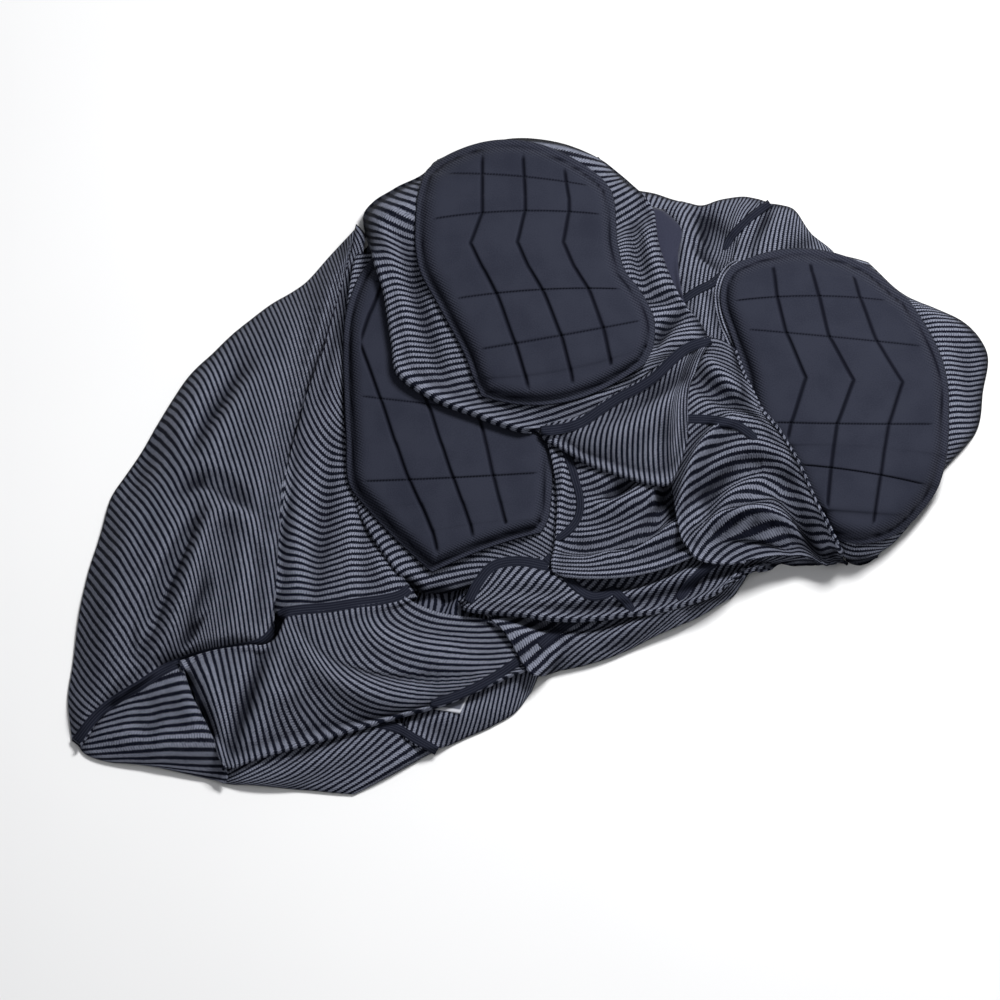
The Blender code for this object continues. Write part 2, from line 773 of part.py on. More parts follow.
def lay_label(pile, collection):
    """Small plain label sewn to the hem."""
    upper_left, upper_right, lower_left, lower_right = LABEL_CORNERS
    grid = []
    for line in range(LABEL_CELLS + 1):
        down = line / LABEL_CELLS
        for place in range(LABEL_CELLS + 1):
            side = place / LABEL_CELLS
            pair = []
            for axis in (0, 1):
                left = upper_left[axis] * (1 - down) + lower_left[axis] * down
                right = upper_right[axis] * (1 - down) + lower_right[axis] * down
                pair.append(left * (1 - side) + right * side)
            grid.append(tuple(pair))
    count = LABEL_CELLS + 1
    base = [pile.height_near(*place, 6) + 2 * GAP for place in grid]
    mesh = grid_mesh("label", LABEL_CELLS, LABEL_CELLS)
    under = settle(pile, mesh, grid, count, base, GAP)
    top = [spot(*place, height + LABEL_THICKNESS) for place, height in zip(grid, base)]
    close_pair(mesh, top, under)
    new_object("label", mesh, collection, SEAM_NAVY)
    pile.add(mesh)


def outline_reach(angle):
    """Distance on the view from the core's centre to the outline."""
    centre_column, centre_row = CORE_CENTRE
    across = cos(angle)
    down = sin(angle)
    best = 0.0
    for first, second in zip(OUTLINE, OUTLINE[1:] + OUTLINE[:1]):
        run = second[0] - first[0]
        fall = second[1] - first[1]
        start_run = first[0] - centre_column
        start_fall = first[1] - centre_row
        turn = across * fall - down * run
        if abs(turn) < 1e-9:
            continue
        reach = (start_run * fall - start_fall * run) / turn
        share = (start_run * down - start_fall * across) / turn
        if 0.0 <= share <= 1.0 and reach > 0:
            best = max(best, reach)
    return best


def lay_core(pile, collection):
    """Hidden layers: one solid under the sheets, stepped at its edge."""
    rings = len(CORE_RINGS) + 1
    bm = bmesh.new()
    bmesh.ops.create_uvsphere(bm, u_segments=CORE_SPOKES, v_segments=rings, radius=1.0)
    bmesh.ops.triangulate(bm, faces=bm.faces)
    bm.verts.ensure_lookup_table()
    floors = {}
    for vertex in bm.verts:
        ring = round(acos(min(max(vertex.co.z, -1.0), 1.0)) / pi * rings)
        angle = atan2(vertex.co.y, vertex.co.x)
        share, limit = CORE_RINGS[ring - 1] if 0 < ring < rings else (0.0, None)
        if ring == rings:
            limit = 0.0
        reach = (outline_reach(angle) - CORE_INSET) * share
        column = CORE_CENTRE[0] + cos(angle) * reach
        row = CORE_CENTRE[1] + sin(angle) * reach
        height = CORE_HIGHEST
        if limit is None or limit > 0.0:
            for turn in range(CORE_LOOKS):
                look = turn * 2 * pi / CORE_LOOKS
                for far in (0.0, 0.33, 0.67, 1.0):
                    low = pile.low_height(
                        column + cos(look) * far * CORE_LOOK_REACH,
                        row + sin(look) * far * CORE_LOOK_REACH,
                    )
                    height = min(height, CORE_LOWEST if low is None else low - CORE_MARGIN)
            height = max(height, CORE_LOWEST)
        if limit is not None:
            height = min(height, limit)
        floors[vertex.index] = [column, row, height]
    free = {v.index for v in bm.verts if floors[v.index][2] > 0.0}
    faces = [[vertex.index for vertex in face.verts] for face in bm.faces]
    for _ in range(LAYER_TRIES):
        points = core_points(floors)
        touched = pile.touched(points, faces) & free
        if not touched:
            break
        for index in touched:
            floors[index][2] = max(floors[index][2] - CORE_STEP, CORE_LOWEST)
    for vertex, point in zip(bm.verts, core_points(floors)):
        vertex.co = point
    bmesh.ops.reverse_faces(bm, faces=bm.faces)
    mesh = bpy.data.meshes.new("hidden_layers")
    bm.to_mesh(mesh)
    bm.free()
    new_object("hidden_layers", mesh, collection, STRIPED)


def core_points(floors):
    """The core's points: raised ones on the view, the rest straight below."""
    points = []
    for index in range(len(floors)):
        column, row, height = floors[index]
        point = spot(column, row, max(height, CORE_LOWEST))
        point.z = height
        points.append(point)
    return points


def centre_pieces(collection):
    """Move every piece so that the origin is under the middle of the heap."""
    corners = []
    for piece in collection.objects:
        corners += [vertex.co.copy() for vertex in evaluated_mesh(piece).vertices]
    shift = Vector()
    for axis in (0, 1):
        values = [corner[axis] for corner in corners]
        shift[axis] = -(min(values) + max(values)) / 2
    for piece in collection.objects:
        for vertex in piece.data.vertices:
            vertex.co += shift
    print("moved to the middle by", [round(value * 1000, 2) for value in shift])


def main():
    for piece in list(bpy.data.objects):
        bpy.data.objects.remove(piece, do_unlink=True)
    collection = bpy.data.collections.new("padded_shirt")
    bpy.context.scene.collection.children.link(collection)
    pile = Pile()
    for name in LAYERS:
        if name in PADS:
            lay_pad(name, pile, collection)
        elif name == "label":
            lay_label(pile, collection)
        else:
            lay_panel(name, pile, collection)
    lay_core(pile, collection)
    centre_pieces(collection)


main()
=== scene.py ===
import json
from math import cos, pi, radians, sin

import bmesh
import bpy
import numpy as np
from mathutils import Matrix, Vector, noise
from mathutils.bvhtree import BVHTree

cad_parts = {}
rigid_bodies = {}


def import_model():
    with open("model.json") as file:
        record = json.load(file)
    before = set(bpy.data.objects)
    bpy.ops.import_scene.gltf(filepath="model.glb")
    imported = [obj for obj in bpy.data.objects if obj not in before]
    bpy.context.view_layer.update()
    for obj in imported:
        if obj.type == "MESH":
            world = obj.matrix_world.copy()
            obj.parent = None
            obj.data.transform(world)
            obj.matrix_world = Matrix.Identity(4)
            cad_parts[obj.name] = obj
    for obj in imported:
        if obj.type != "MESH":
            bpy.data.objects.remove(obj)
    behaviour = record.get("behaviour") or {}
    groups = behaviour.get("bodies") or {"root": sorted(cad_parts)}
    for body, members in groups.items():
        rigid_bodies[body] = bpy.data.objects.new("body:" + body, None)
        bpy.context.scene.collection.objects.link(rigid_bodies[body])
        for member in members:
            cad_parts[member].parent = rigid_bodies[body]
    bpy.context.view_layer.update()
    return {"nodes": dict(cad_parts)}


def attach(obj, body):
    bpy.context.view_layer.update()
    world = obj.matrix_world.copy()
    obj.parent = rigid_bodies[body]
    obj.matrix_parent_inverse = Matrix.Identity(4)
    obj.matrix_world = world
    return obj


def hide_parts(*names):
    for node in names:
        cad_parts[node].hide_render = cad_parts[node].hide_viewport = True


for leftover in list(bpy.data.objects):
    bpy.data.objects.remove(leftover, do_unlink=True)
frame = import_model()

mm = 0.001

# The heap and the view that the tables are read in: a spot is a column and a
# row of a 1000 by 1000 view, tilted down, and a height over the floor in mm
heap = {
    "width": 0.570,
    "leftColumn": 68,
    "rightColumn": 986,
    "centreColumn": 527,
    "centreRow": 465,
    "tilt": radians(55),
    "shift": (-0.62 * mm, 2.26 * mm),
}
span = heap["width"] / (heap["rightColumn"] - heap["leftColumn"])
tiltCos = cos(heap["tilt"])
tiltSin = sin(heap["tilt"])
viewDirection = Vector((0, tiltCos, -tiltSin))

cloth = {
    "wall": 1.3 * mm,
    "gap": 0.35 * mm,
    "cell": 1.9 * mm,
    "edgeDrop": 10,
    "drapeReach": 4,
    "crumple": 0.9,
    "crumpleSize": 26,
    "fineCrumple": 0.4,
    "fineSize": 0.45,
    "sway": 0.8,
    "rollReach": 4,
    # Painted shade on the striped sheets: the smoothing rounds that each sheet's relief is taken
    # against, the colour share at flat spots, its change per mm of relief and its least value
    "shadeRounds": 40,
    "paintedShadeFlat": 0.80,
    "paintedShadeSlope": 0.19,
    "paintedShadeLeast": 0.16,
}

# Section rows: start column, row, height; middle column, row, height; end
# column, row, height; and, where the spacing of the stripes changes, the
# number of stripes passed so far.  Fold rows: start, middle and end column and
# row; half width, height in mm.  Pitch: mm from stripe to stripe, 0 for plain
# cloth.  Hug: widths in mm over which the sheet comes down at the start side,
# end side, first and last section.  Drop: how far, in mm.  Rolls: radius in mm
# of an edge that is folded under, at the same four sides.  Cut: flat width and
# length in mm, flat area in square cm.
panels = {
    "hemFlap": {
        "node": "hem_flap", "pitch": 5.2, "hug": (8, 0, 0, 8), "cut": (74, 108, 49),
        "sections": [
            (214, 774, 4, 228, 764, 7, 246, 752, 8),
            (223, 783, 3, 262, 768, 8, 302, 734, 9),
            (262, 787, 3, 312, 769, 8, 362, 716, 10),
            (305, 790, 3, 350, 765, 8, 398, 722, 9),
            (335, 793, 3, 374, 768, 8, 417, 737, 8),
            (354, 794, 3, 392, 775, 6, 435, 751, 4),
        ],
        "folds": [
            (250, 782, 320, 764, 390, 728, 7, 3),
            (262, 770, 320, 748, 366, 724, 5, -2.5),
        ],
    },
    "labelFlap": {
        "node": "label_flap", "pitch": 3.5, "hug": (0, 8, 6, 6), "cut": (34, 84, 28),
        "sections": [
            (418, 700, 10, 410, 718, 7, 404, 738, 3),
            (440, 694, 10, 432, 720, 8, 424, 748, 3),
            (462, 688, 11, 455, 716, 8, 446, 746, 3),
            (484, 680, 11, 479, 706, 8, 470, 736, 3),
            (506, 670, 11, 502, 694, 8, 496, 724, 3),
            (528, 660, 11, 524, 684, 7, 516, 712, 3),
            (546, 652, 10, 540, 672, 7, 531, 693, 3),
        ],
        "folds": [
            (412, 726, 450, 716, 500, 704, 6, 3),
        ],
    },
    "hemBack": {
        "node": "hem_back", "pitch": 5.4, "hug": (9, 0, 0, 8),
        "rolls": (0, 1.0, 0, 0), "cut": (76, 90, 51),
        "sections": [
            (118, 697, 8, 146, 676, 18, 180, 664, 20, 0),
            (112, 704, 6, 146, 690, 17, 186, 682, 20, 1.8),
            (100, 716, 6, 143, 702, 16, 191, 697, 19, 3.4),
            (90, 727, 5, 140, 714, 14, 197, 709, 18, 5),
            (83, 738, 4, 138, 727, 13, 204, 722, 17, 6.7),
            (80, 748, 3, 140, 741, 11, 211, 737, 15, 8.5),
            (88, 756, 3, 146, 753, 9, 218, 752, 12, 10.2),
            (108, 762, 3, 158, 763, 6, 224, 765, 9, 11.8),
            (134, 764, 3, 180, 770, 5, 227, 776, 6, 13.3),
            (165, 769, 3, 196, 776, 4, 226, 783, 4, 14.5),
        ],
        "folds": [
            (112, 735, 150, 744, 205, 742, 8, 4),
            (150, 688, 152, 720, 146, 750, 8, -3),
            (176, 672, 186, 700, 208, 745, 6, 3),
        ],
    },
    "sidePanel": {
        "node": "side_panel", "pitch": 4.2, "hug": (7, 0, 6, 0), "cut": (46, 292, 124),
        "sections": [
            (356, 224, 25, 362, 230, 27, 366, 236, 27, 0),
            (350, 246, 25, 355, 266, 27, 358, 286, 27, 5),
            (343, 270, 25, 347, 300, 27, 349, 330, 27, 8.5),
            (335, 300, 25, 341, 336, 28, 345, 366, 27, 12),
            (327, 330, 25, 335, 366, 28, 343, 394, 26, 15.5),
            (318, 360, 24, 329, 396, 28, 344, 420, 26, 19),
            (308, 390, 23, 323, 426, 27, 347, 444, 25, 23),
            (298, 424, 22, 317, 456, 27, 349, 468, 25, 27),
            (290, 455, 20, 312, 486, 26, 352, 492, 24, 31),
            (284, 485, 19, 309, 514, 26, 362, 514, 24, 35),
            (279, 515, 18, 305, 541, 26, 374, 536, 24, 39),
            (275, 548, 17, 304, 566, 26, 388, 556, 24, 43),
            (273, 582, 17, 306, 590, 25, 402, 576, 24, 47),
            (272, 614, 17, 330, 612, 24, 418, 598, 23, 51),
        ],
        "folds": [
            (330, 440, 322, 520, 318, 596, 6, -5),
            (352, 470, 348, 530, 352, 598, 7, 5),
            (298, 470, 296, 540, 298, 606, 7, 4),
            (372, 548, 382, 570, 400, 588, 6, 4),
            (344, 282, 330, 340, 318, 400, 4, -3),
        ],
    },
    "backPanel": {
        "node": "back_panel", "pitch": 4.6, "hug": (36, 12, 5, 8), "drop": 60,
        "rolls": (0, 0.8, 0, 0), "cut": (130, 436, 424),
        "sections": [
            (72, 741, 3, 76, 744, 4, 80, 747, 5, 0),
            (68, 700, 4, 80, 714, 12, 96, 722, 12, 4.5),
            (73, 663, 5, 90, 686, 18, 108, 706, 15, 9),
            (79, 615, 6, 104, 650, 24, 131, 686, 18, 14.5),
            (88, 574, 6, 120, 618, 28, 156, 671, 21, 19.5),
            (101, 533, 7, 140, 588, 32, 178, 660, 23, 24.5),
            (111, 498, 8, 158, 566, 35, 196, 656, 24, 29),
            (126, 474, 8, 176, 548, 38, 208, 655, 24, 33),
            (142, 449, 9, 194, 530, 40, 220, 653, 25, 37.5),
            (165, 412, 9, 210, 490, 42, 243, 650, 25, 43),
            (188, 378, 10, 236, 476, 42, 268, 645, 25, 48.5),
            (213, 355, 11, 254, 440, 42, 278, 545, 27, 54),
            (241, 328, 12, 268, 390, 40, 287, 460, 29, 60.5),
            (270, 305, 13, 290, 354, 37, 302, 402, 30, 67.5),
            (304, 284, 14, 315, 314, 33, 323, 346, 31, 76.5),
            (330, 256, 16, 336, 273, 30, 340, 289, 30, 85.5),
            (354, 230, 18, 353, 240, 26, 350, 250, 28, 94),
        ],
        "folds": [
            (210, 508, 194, 576, 158, 664, 7, 10),
            (200, 514, 166, 562, 136, 652, 6, -12),
            (142, 480, 118, 560, 102, 650, 9, 4),
            (246, 364, 214, 396, 192, 446, 6, -8),
            (258, 372, 230, 410, 208, 458, 8, 5),
            (180, 494, 206, 456, 248, 506, 6, -8),
            (206, 520, 232, 498, 268, 544, 6, 6),
            (242, 520, 250, 580, 226, 645, 7, 4),
            (208, 578, 202, 612, 178, 652, 4, -8),
            (336, 268, 304, 420, 276, 600, 6, 4),
            (314, 300, 286, 420, 262, 560, 6, -5),
            (272, 480, 264, 560, 262, 630, 5, -5),
            (156, 428, 140, 462, 128, 512, 8, -5),
            (240, 330, 206, 372, 176, 420, 7, 4),
            (100, 600, 90, 650, 84, 700, 8, -4),
        ],
    },
    "hemFront": {
        "node": "hem_front", "pitch": 4.8, "hug": (3, 9, 5, 0),
        "rolls": (0, 2.0, 1.2, 0), "cut": (104, 206, 180),
        "sections": [
            (178, 661, 20, 203, 708, 17, 224, 768, 6, 0),
            (213, 650, 22, 226, 704, 20, 240, 762, 7, 4.2),
            (243, 645, 23, 254, 698, 21, 268, 752, 7, 9),
            (272, 640, 24, 290, 694, 22, 318, 738, 8, 15.3),
            (288, 613, 25, 322, 690, 24, 372, 722, 10, 20.5),
            (306, 611, 25, 348, 692, 25, 432, 706, 12, 24),
            (324, 610, 25, 372, 682, 25, 476, 689, 13, 27.5),
            (340, 608, 25, 388, 672, 24, 508, 675, 14, 30.5),
            (356, 606, 24, 402, 662, 23, 534, 664, 14, 33.2),
            (370, 604, 24, 412, 650, 22, 548, 650, 15, 35.8),
            (384, 602, 24, 424, 637, 21, 540, 637, 16, 38.4),
            (396, 600, 24, 432, 624, 20, 508, 626, 17, 40.8),
            (405, 596, 24, 436, 611, 20, 472, 616, 19, 42.8),
        ],
        "folds": [
            (296, 618, 338, 678, 468, 676, 5, -6),
            (300, 644, 322, 700, 420, 698, 8, 6),
            (266, 642, 246, 700, 226, 760, 5, -6),
            (288, 640, 268, 700, 246, 752, 8, 5),
            (266, 700, 294, 702, 302, 668, 6, 4),
            (352, 618, 390, 652, 470, 648, 9, 4),
            (205, 668, 214, 700, 224, 742, 7, 4),
        ],
    },
    "lowerPadPanel": {
        "node": "lower_pad_panel", "pitch": 3.9, "hug": (7, 0, 0, 9),
        "rolls": (2.0, 0, 0, 2.0), "cut": (127, 262, 302),
        "sections": [
            (357, 254, 30, 420, 252, 32, 490, 262, 32),
            (350, 300, 31, 420, 298, 34, 515, 308, 33),
            (349, 350, 31, 430, 350, 35, 536, 360, 34),
            (349, 410, 31, 430, 405, 35, 556, 420, 34),
            (351, 462, 30, 432, 448, 35, 562, 470, 33),
            (357, 500, 28, 448, 474, 34, 566, 520, 31),
            (369, 527, 27, 456, 505, 32, 562, 552, 28),
            (386, 553, 26, 462, 534, 29, 545, 562, 26),
            (404, 577, 25, 468, 560, 27, 528, 568, 25),
            (426, 594, 22, 470, 582, 25, 512, 574, 24),
        ],
        "folds": [
            (358, 508, 382, 550, 424, 590, 7, 3),
        ],
    },
    "shoulderPanel": {
        "node": "shoulder_panel", "pitch": 3.1, "hug": (12, 0, 0, 0), "drop": 60,
        "cut": (115, 88, 88),
        "sections": [
            (634, 190, 28, 628, 230, 38, 612, 284, 42),
            (655, 194, 24, 640, 232, 37, 626, 284, 42),
            (676, 202, 20, 660, 236, 36, 648, 294, 42),
            (696, 203, 16, 682, 240, 34, 670, 304, 42),
            (716, 200, 14, 703, 240, 32, 692, 298, 40),
            (738, 198, 12, 722, 238, 28, 712, 286, 38),
            (756, 199, 11, 738, 232, 22, 729, 270, 34),
            (768, 202, 11, 750, 226, 19, 738, 258, 30),
        ],
        "folds": [
            (704, 204, 708, 232, 730, 262, 8, -15),
            (676, 202, 690, 240, 686, 284, 8, 7),
            (712, 262, 700, 272, 694, 292, 5, 5),
            (744, 204, 742, 222, 734, 240, 6, 6),
            (664, 214, 676, 236, 674, 262, 4, -6),
            (690, 244, 704, 252, 716, 268, 4, -6),
        ],
    },
    "shoulderYoke": {
        "node": "shoulder_yoke", "pitch": 2.6, "hug": (9, 0, 3, 6), "cut": (60, 65, 35),
        "sections": [
            (758, 203, 12, 742, 232, 21, 730, 270, 30),
            (770, 204, 11, 757, 234, 21, 749, 266, 28),
            (782, 206, 11, 774, 234, 20, 769, 264, 27),
            (795, 211, 10, 791, 236, 18, 789, 262, 25),
            (809, 230, 9, 811, 244, 15, 813, 260, 21),
            (832, 250, 8, 838, 258, 11, 842, 266, 15),
        ],
        "folds": [
            (786, 210, 768, 232, 756, 256, 8, 4),
            (816, 236, 800, 242, 782, 252, 5, -4),
            (770, 214, 756, 230, 744, 254, 4, -4),
        ],
    },
    "shoulderStrip": {
        "node": "shoulder_strip", "pitch": 2.9, "hug": (0, 0, 0, 0), "cut": (52, 36, 16.5),
        "sections": [
            (684, 298, 41, 680, 324, 41, 674, 350, 40),
            (698, 289, 41, 694, 318, 41, 689, 350, 39),
            (712, 282, 40, 708, 314, 40, 704, 350, 38),
            (727, 272, 38, 723, 306, 38, 720, 350, 37),
            (736, 268, 37, 733, 304, 37, 731, 350, 36),
        ],
        "folds": [
            (700, 292, 702, 316, 712, 346, 5, 3),
            (716, 288, 716, 316, 726, 340, 4, -3),
        ],
    },
    "rightPadPanel": {
        "node": "right_pad_panel", "pitch": 3.8, "hug": (0, 12, 4, 6),
        "rolls": (0, 0, 0, 1.5), "cut": (139, 247, 290),
        "sections": [
            (731, 264, 33, 800, 252, 28, 868, 262, 16),
            (720, 290, 36, 810, 284, 35, 908, 298, 13),
            (722, 322, 37, 830, 322, 37, 962, 322, 9),
            (740, 352, 38, 845, 356, 39, 987, 352, 8),
            (752, 392, 38, 855, 400, 38, 983, 392, 8),
            (764, 424, 37, 862, 440, 35, 976, 432, 8),
            (790, 455, 34, 865, 480, 31, 942, 472, 6),
            (815, 500, 30, 862, 518, 25, 916, 516, 6),
            (830, 530, 25, 862, 544, 18, 896, 541, 5),
            (846, 560, 13, 860, 561, 9, 878, 556, 5),
        ],
        "folds": [
            (930, 318, 954, 366, 958, 440, 7, 3),
            (966, 340, 974, 380, 968, 424, 6, -2),
            (905, 300, 930, 318, 972, 334, 6, 4),
            (856, 548, 866, 552, 884, 548, 4, 4),
        ],
    },
    "cuffUnder": {
        "node": "cuff_under", "pitch": 6.4, "hug": (9, 0, 3, 6), "cut": (68, 174, 72),
        "sections": [
            (466, 604, 22, 500, 600, 22, 532, 598, 21),
            (500, 626, 18, 538, 612, 20, 584, 598, 21),
            (532, 674, 5, 576, 636, 15, 628, 598, 19),
            (562, 671, 4, 612, 634, 13, 668, 590, 17),
            (602, 661, 4, 647, 628, 11, 700, 586, 15),
            (646, 642, 4, 682, 616, 10, 726, 582, 13),
            (692, 622, 4, 717, 600, 9, 745, 572, 9),
            (731, 598, 3, 741, 586, 6, 756, 560, 7),
        ],
        "folds": [
            (560, 660, 640, 634, 700, 598, 7, 6),
            (500, 616, 560, 632, 640, 612, 5, -8),
            (640, 640, 700, 612, 736, 572, 6, 6),
            (600, 652, 650, 636, 700, 606, 4, -6),
            (660, 606, 700, 602, 730, 590, 4, -6),
        ],
    },
    "sleeveBottom": {
        "node": "sleeve_bottom", "pitch": 5.2, "hug": (6, 0, 5, 6),
        "rolls": (2.5, 0, 0, 2.0), "cut": (56, 232, 92),
        "sections": [
            (458, 602, 25, 465, 594, 26, 474, 580, 27),
            (474, 608, 25, 500, 586, 28, 520, 560, 29),
            (500, 612, 24, 532, 588, 28, 556, 558, 30),
            (532, 614, 23, 566, 590, 27, 596, 556, 30),
            (568, 616, 22, 602, 592, 26, 634, 554, 29),
            (604, 614, 20, 634, 590, 25, 664, 556, 28),
            (640, 609, 17, 664, 586, 23, 690, 553, 27),
            (676, 602, 14, 697, 578, 20, 718, 548, 25),
            (710, 592, 10, 728, 570, 15, 750, 544, 20),
            (746, 570, 7, 770, 558, 10, 790, 546, 14),
            (780, 562, 5, 806, 560, 7, 830, 562, 9),
        ],
        "folds": [
            (576, 566, 650, 556, 724, 522, 5, 9),
            (560, 560, 640, 558, 704, 530, 4, -9),
            (480, 606, 560, 606, 640, 598, 6, 5),
            (640, 596, 700, 576, 752, 556, 6, 7),
            (636, 606, 690, 594, 730, 574, 4, -8),
            (500, 582, 540, 574, 580, 590, 6, 4),
            (590, 590, 650, 584, 700, 556, 4, -6),
            (540, 612, 600, 612, 660, 600, 4, -5),
        ],
    },
    "sleeveUnder": {
        "node": "sleeve_under", "pitch": 3.8, "hug": (5, 0, 0, 5),
        "rolls": (1.5, 0, 0, 1.5), "cut": (100, 112, 110),
        "sections": [
            (546, 430, 36, 596, 428, 37, 664, 398, 36),
            (553, 456, 35, 604, 448, 36, 668, 420, 35),
            (557, 482, 35, 608, 474, 35, 668, 440, 34),
            (559, 505, 34, 612, 498, 34, 674, 458, 33),
            (558, 526, 32, 616, 520, 33, 684, 476, 32),
            (556, 545, 30, 622, 540, 32, 692, 500, 31),
            (553, 560, 28, 628, 556, 30, 700, 522, 30),
            (552, 572, 27, 634, 572, 28, 706, 546, 28),
        ],
        "folds": [
            (592, 506, 634, 514, 654, 478, 6, 9),
            (620, 552, 666, 530, 668, 478, 5, -14),
            (584, 468, 606, 482, 640, 478, 6, 5),
            (600, 556, 652, 556, 690, 516, 5, 10),
            (560, 446, 564, 480, 560, 516, 4, 5),
            (556, 546, 600, 550, 640, 536, 4, -9),
            (604, 500, 622, 492, 634, 478, 4, -6),
            (648, 506, 656, 496, 660, 482, 3, 6),
            (672, 520, 678, 496, 686, 470, 4, -8),
        ],
    },
    "sleeveCentre": {
        "node": "sleeve_centre", "pitch": 4.5, "hug": (0, 6, 0, 9), "drop": 30,
        "rolls": (1.2, 0.8, 0, 0.8), "cut": (92, 182, 142),
        "sections": [
            (688, 350, 40, 712, 338, 40, 736, 350, 39),
            (672, 400, 40, 708, 366, 41, 748, 380, 39),
            (669, 434, 40, 712, 396, 42, 763, 410, 39),
            (671, 466, 39, 722, 420, 43, 782, 438, 38),
            (674, 496, 37, 732, 446, 43, 800, 470, 36),
            (678, 522, 34, 742, 470, 41, 815, 500, 33),
            (685, 543, 30, 750, 494, 36, 828, 527, 25),
            (696, 556, 24, 758, 516, 29, 838, 548, 15),
            (714, 561, 16, 766, 538, 19, 842, 558, 9),
            (744, 563, 8, 790, 554, 9, 846, 564, 5),
        ],
        "folds": [
            (677, 524, 688, 448, 732, 421, 4.5, 13),
            (735, 422, 806, 424, 838, 552, 8, 9),
            (698, 524, 712, 462, 764, 464, 7, -15),
            (724, 516, 752, 488, 790, 486, 5, -7),
            (776, 482, 806, 512, 831, 566, 6, -16),
            (686, 552, 740, 486, 802, 538, 6, 12),
            (716, 540, 752, 518, 790, 548, 4, -12),
            (700, 352, 712, 372, 744, 398, 6, 6),
            (690, 372, 712, 396, 752, 410, 5, -7),
            (744, 444, 776, 452, 804, 480, 6, 6),
            (800, 506, 822, 530, 842, 560, 4, 6),
        ],
    },
    "underarmGusset": {
        "node": "gusset", "pitch": 0, "hug": (0, 3, 3, 3),
        "rolls": (0, 1.0, 0, 0), "cut": (20, 78, 15),
        "sections": [
            (646, 206, 42, 654, 207, 42, 664, 210, 41),
            (648, 226, 45, 663, 226, 44, 680, 229, 42),
            (650, 250, 46, 664, 250, 46, 677, 252, 43),
            (656, 275, 47, 668, 274, 46, 678, 276, 44),
            (668, 300, 47, 677, 300, 46, 685, 306, 44),
        ],
        "folds": [],
    },
    "upperPanel": {
        "node": "upper_panel", "pitch": 4.2, "hug": (15, 9, 14, 0), "drop": 60,
        "rolls": (3.0, 1.5, 0, 2.0), "cut": (196, 270, 490),
        "sections": [
            (438, 160, 30, 520, 138, 34, 598, 158, 32, 0),
            (424, 176, 36, 520, 172, 44, 616, 172, 38, 3),
            (396, 190, 42, 522, 212, 52, 630, 184, 41, 7),
            (366, 213, 43, 515, 248, 54, 646, 200, 43, 11),
            (366, 232, 45, 518, 258, 55, 652, 212, 45, 13.4),
            (376, 256, 46, 524, 264, 56, 654, 226, 47, 16.5),
            (386, 285, 46, 530, 270, 57, 657, 246, 49, 20.5),
            (391, 314, 47, 534, 288, 57, 666, 272, 49, 25.5),
            (395, 340, 47, 540, 318, 57, 678, 296, 49, 30),
            (402, 372, 47, 550, 349, 55, 700, 326, 49, 36),
            (440, 397, 46, 562, 374, 52, 705, 345, 48, 40.5),
            (478, 412, 45, 570, 392, 49, 680, 356, 47, 44.5),
            (512, 424, 44, 576, 408, 46, 640, 382, 46, 48),
            (540, 430, 43, 566, 424, 44, 604, 406, 44, 50.5),
        ],
        "folds": [
            (650, 222, 650, 262, 676, 300, 5, 5),
            (634, 224, 636, 256, 648, 298, 4, -6),
            (376, 222, 400, 290, 412, 372, 6, 5),
            (404, 236, 420, 316, 446, 384, 5, -4),
            (372, 206, 396, 216, 418, 208, 6, 4),
            (700, 334, 664, 342, 640, 374, 6, 6),
            (686, 310, 662, 324, 656, 352, 4, -6),
            (520, 410, 570, 408, 620, 390, 5, 4),
            (640, 290, 656, 300, 676, 298, 4, -4),
        ],
    },
    "centreFlap": {
        "node": "centre_flap", "pitch": 3.8, "hug": (3, 7, 4, 4),
        "rolls": (0, 2.2, 0, 2.0), "cut": (72, 122, 66),
        "sections": [
            (546, 424, 44, 543, 428, 43, 538, 432, 41),
            (584, 414, 48, 570, 432, 47, 566, 447, 40),
            (606, 398, 50, 590, 430, 50, 588, 460, 39),
            (628, 386, 51, 611, 428, 52, 609, 468, 39),
            (650, 372, 51, 632, 425, 52, 631, 475, 39),
            (672, 354, 51, 653, 420, 52, 653, 480, 39),
            (690, 342, 50, 670, 408, 51, 670, 479, 38),
            (706, 338, 49, 680, 388, 48, 680, 462, 38),
            (712, 336, 48, 690, 378, 46, 688, 436, 39),
        ],
        "folds": [
            (590, 424, 650, 396, 704, 360, 5, -7),
            (604, 444, 656, 424, 690, 388, 7, 6),
            (684, 352, 664, 376, 628, 400, 4, 4),
            (682, 406, 676, 440, 676, 472, 4, 6),
            (676, 396, 664, 426, 664, 468, 4, -4),
        ],
    },
}


def spots(columns, rows, heights):
    x = (columns - heap["centreColumn"]) * span + heap["shift"][0]
    up = (heap["centreRow"] - rows) * span
    y = (up - heights * tiltCos) / tiltSin + heap["shift"][1]
    return np.stack([x, y, heights], axis=-1)


def smoothStep(value):
    value = np.clip(value, 0.0, 1.0)
    return value * value * (3 - 2 * value)


def roundStep(value):
    value = 1 - np.clip(value, 0.0, 1.0)
    return np.sqrt(np.maximum(1 - value * value, 0.0))


def through(rows, stations, queries):
    # Smooth blend of the rows at each queried station
    last = len(stations) - 1
    index = np.clip(np.searchsorted(stations, queries, side="right") - 1, 0, last - 1)
    before = np.maximum(index - 1, 0)
    after = np.minimum(index + 2, last)
    step = (stations[index + 1] - stations[index])[:, None]
    share = (queries - stations[index])[:, None] / step
    wide = (stations[index + 1] - stations[before])[:, None]
    leave = (rows[index + 1] - rows[before]) / wide * step
    wide = (stations[after] - stations[index])[:, None]
    arrive = (rows[after] - rows[index]) / wide * step
    square = share * share
    cube = square * share
    result = (2 * cube - 3 * square + 1) * rows[index] + (cube - 2 * square + share) * leave
    return result + (3 * square - 2 * cube) * rows[index + 1] + (cube - square) * arrive


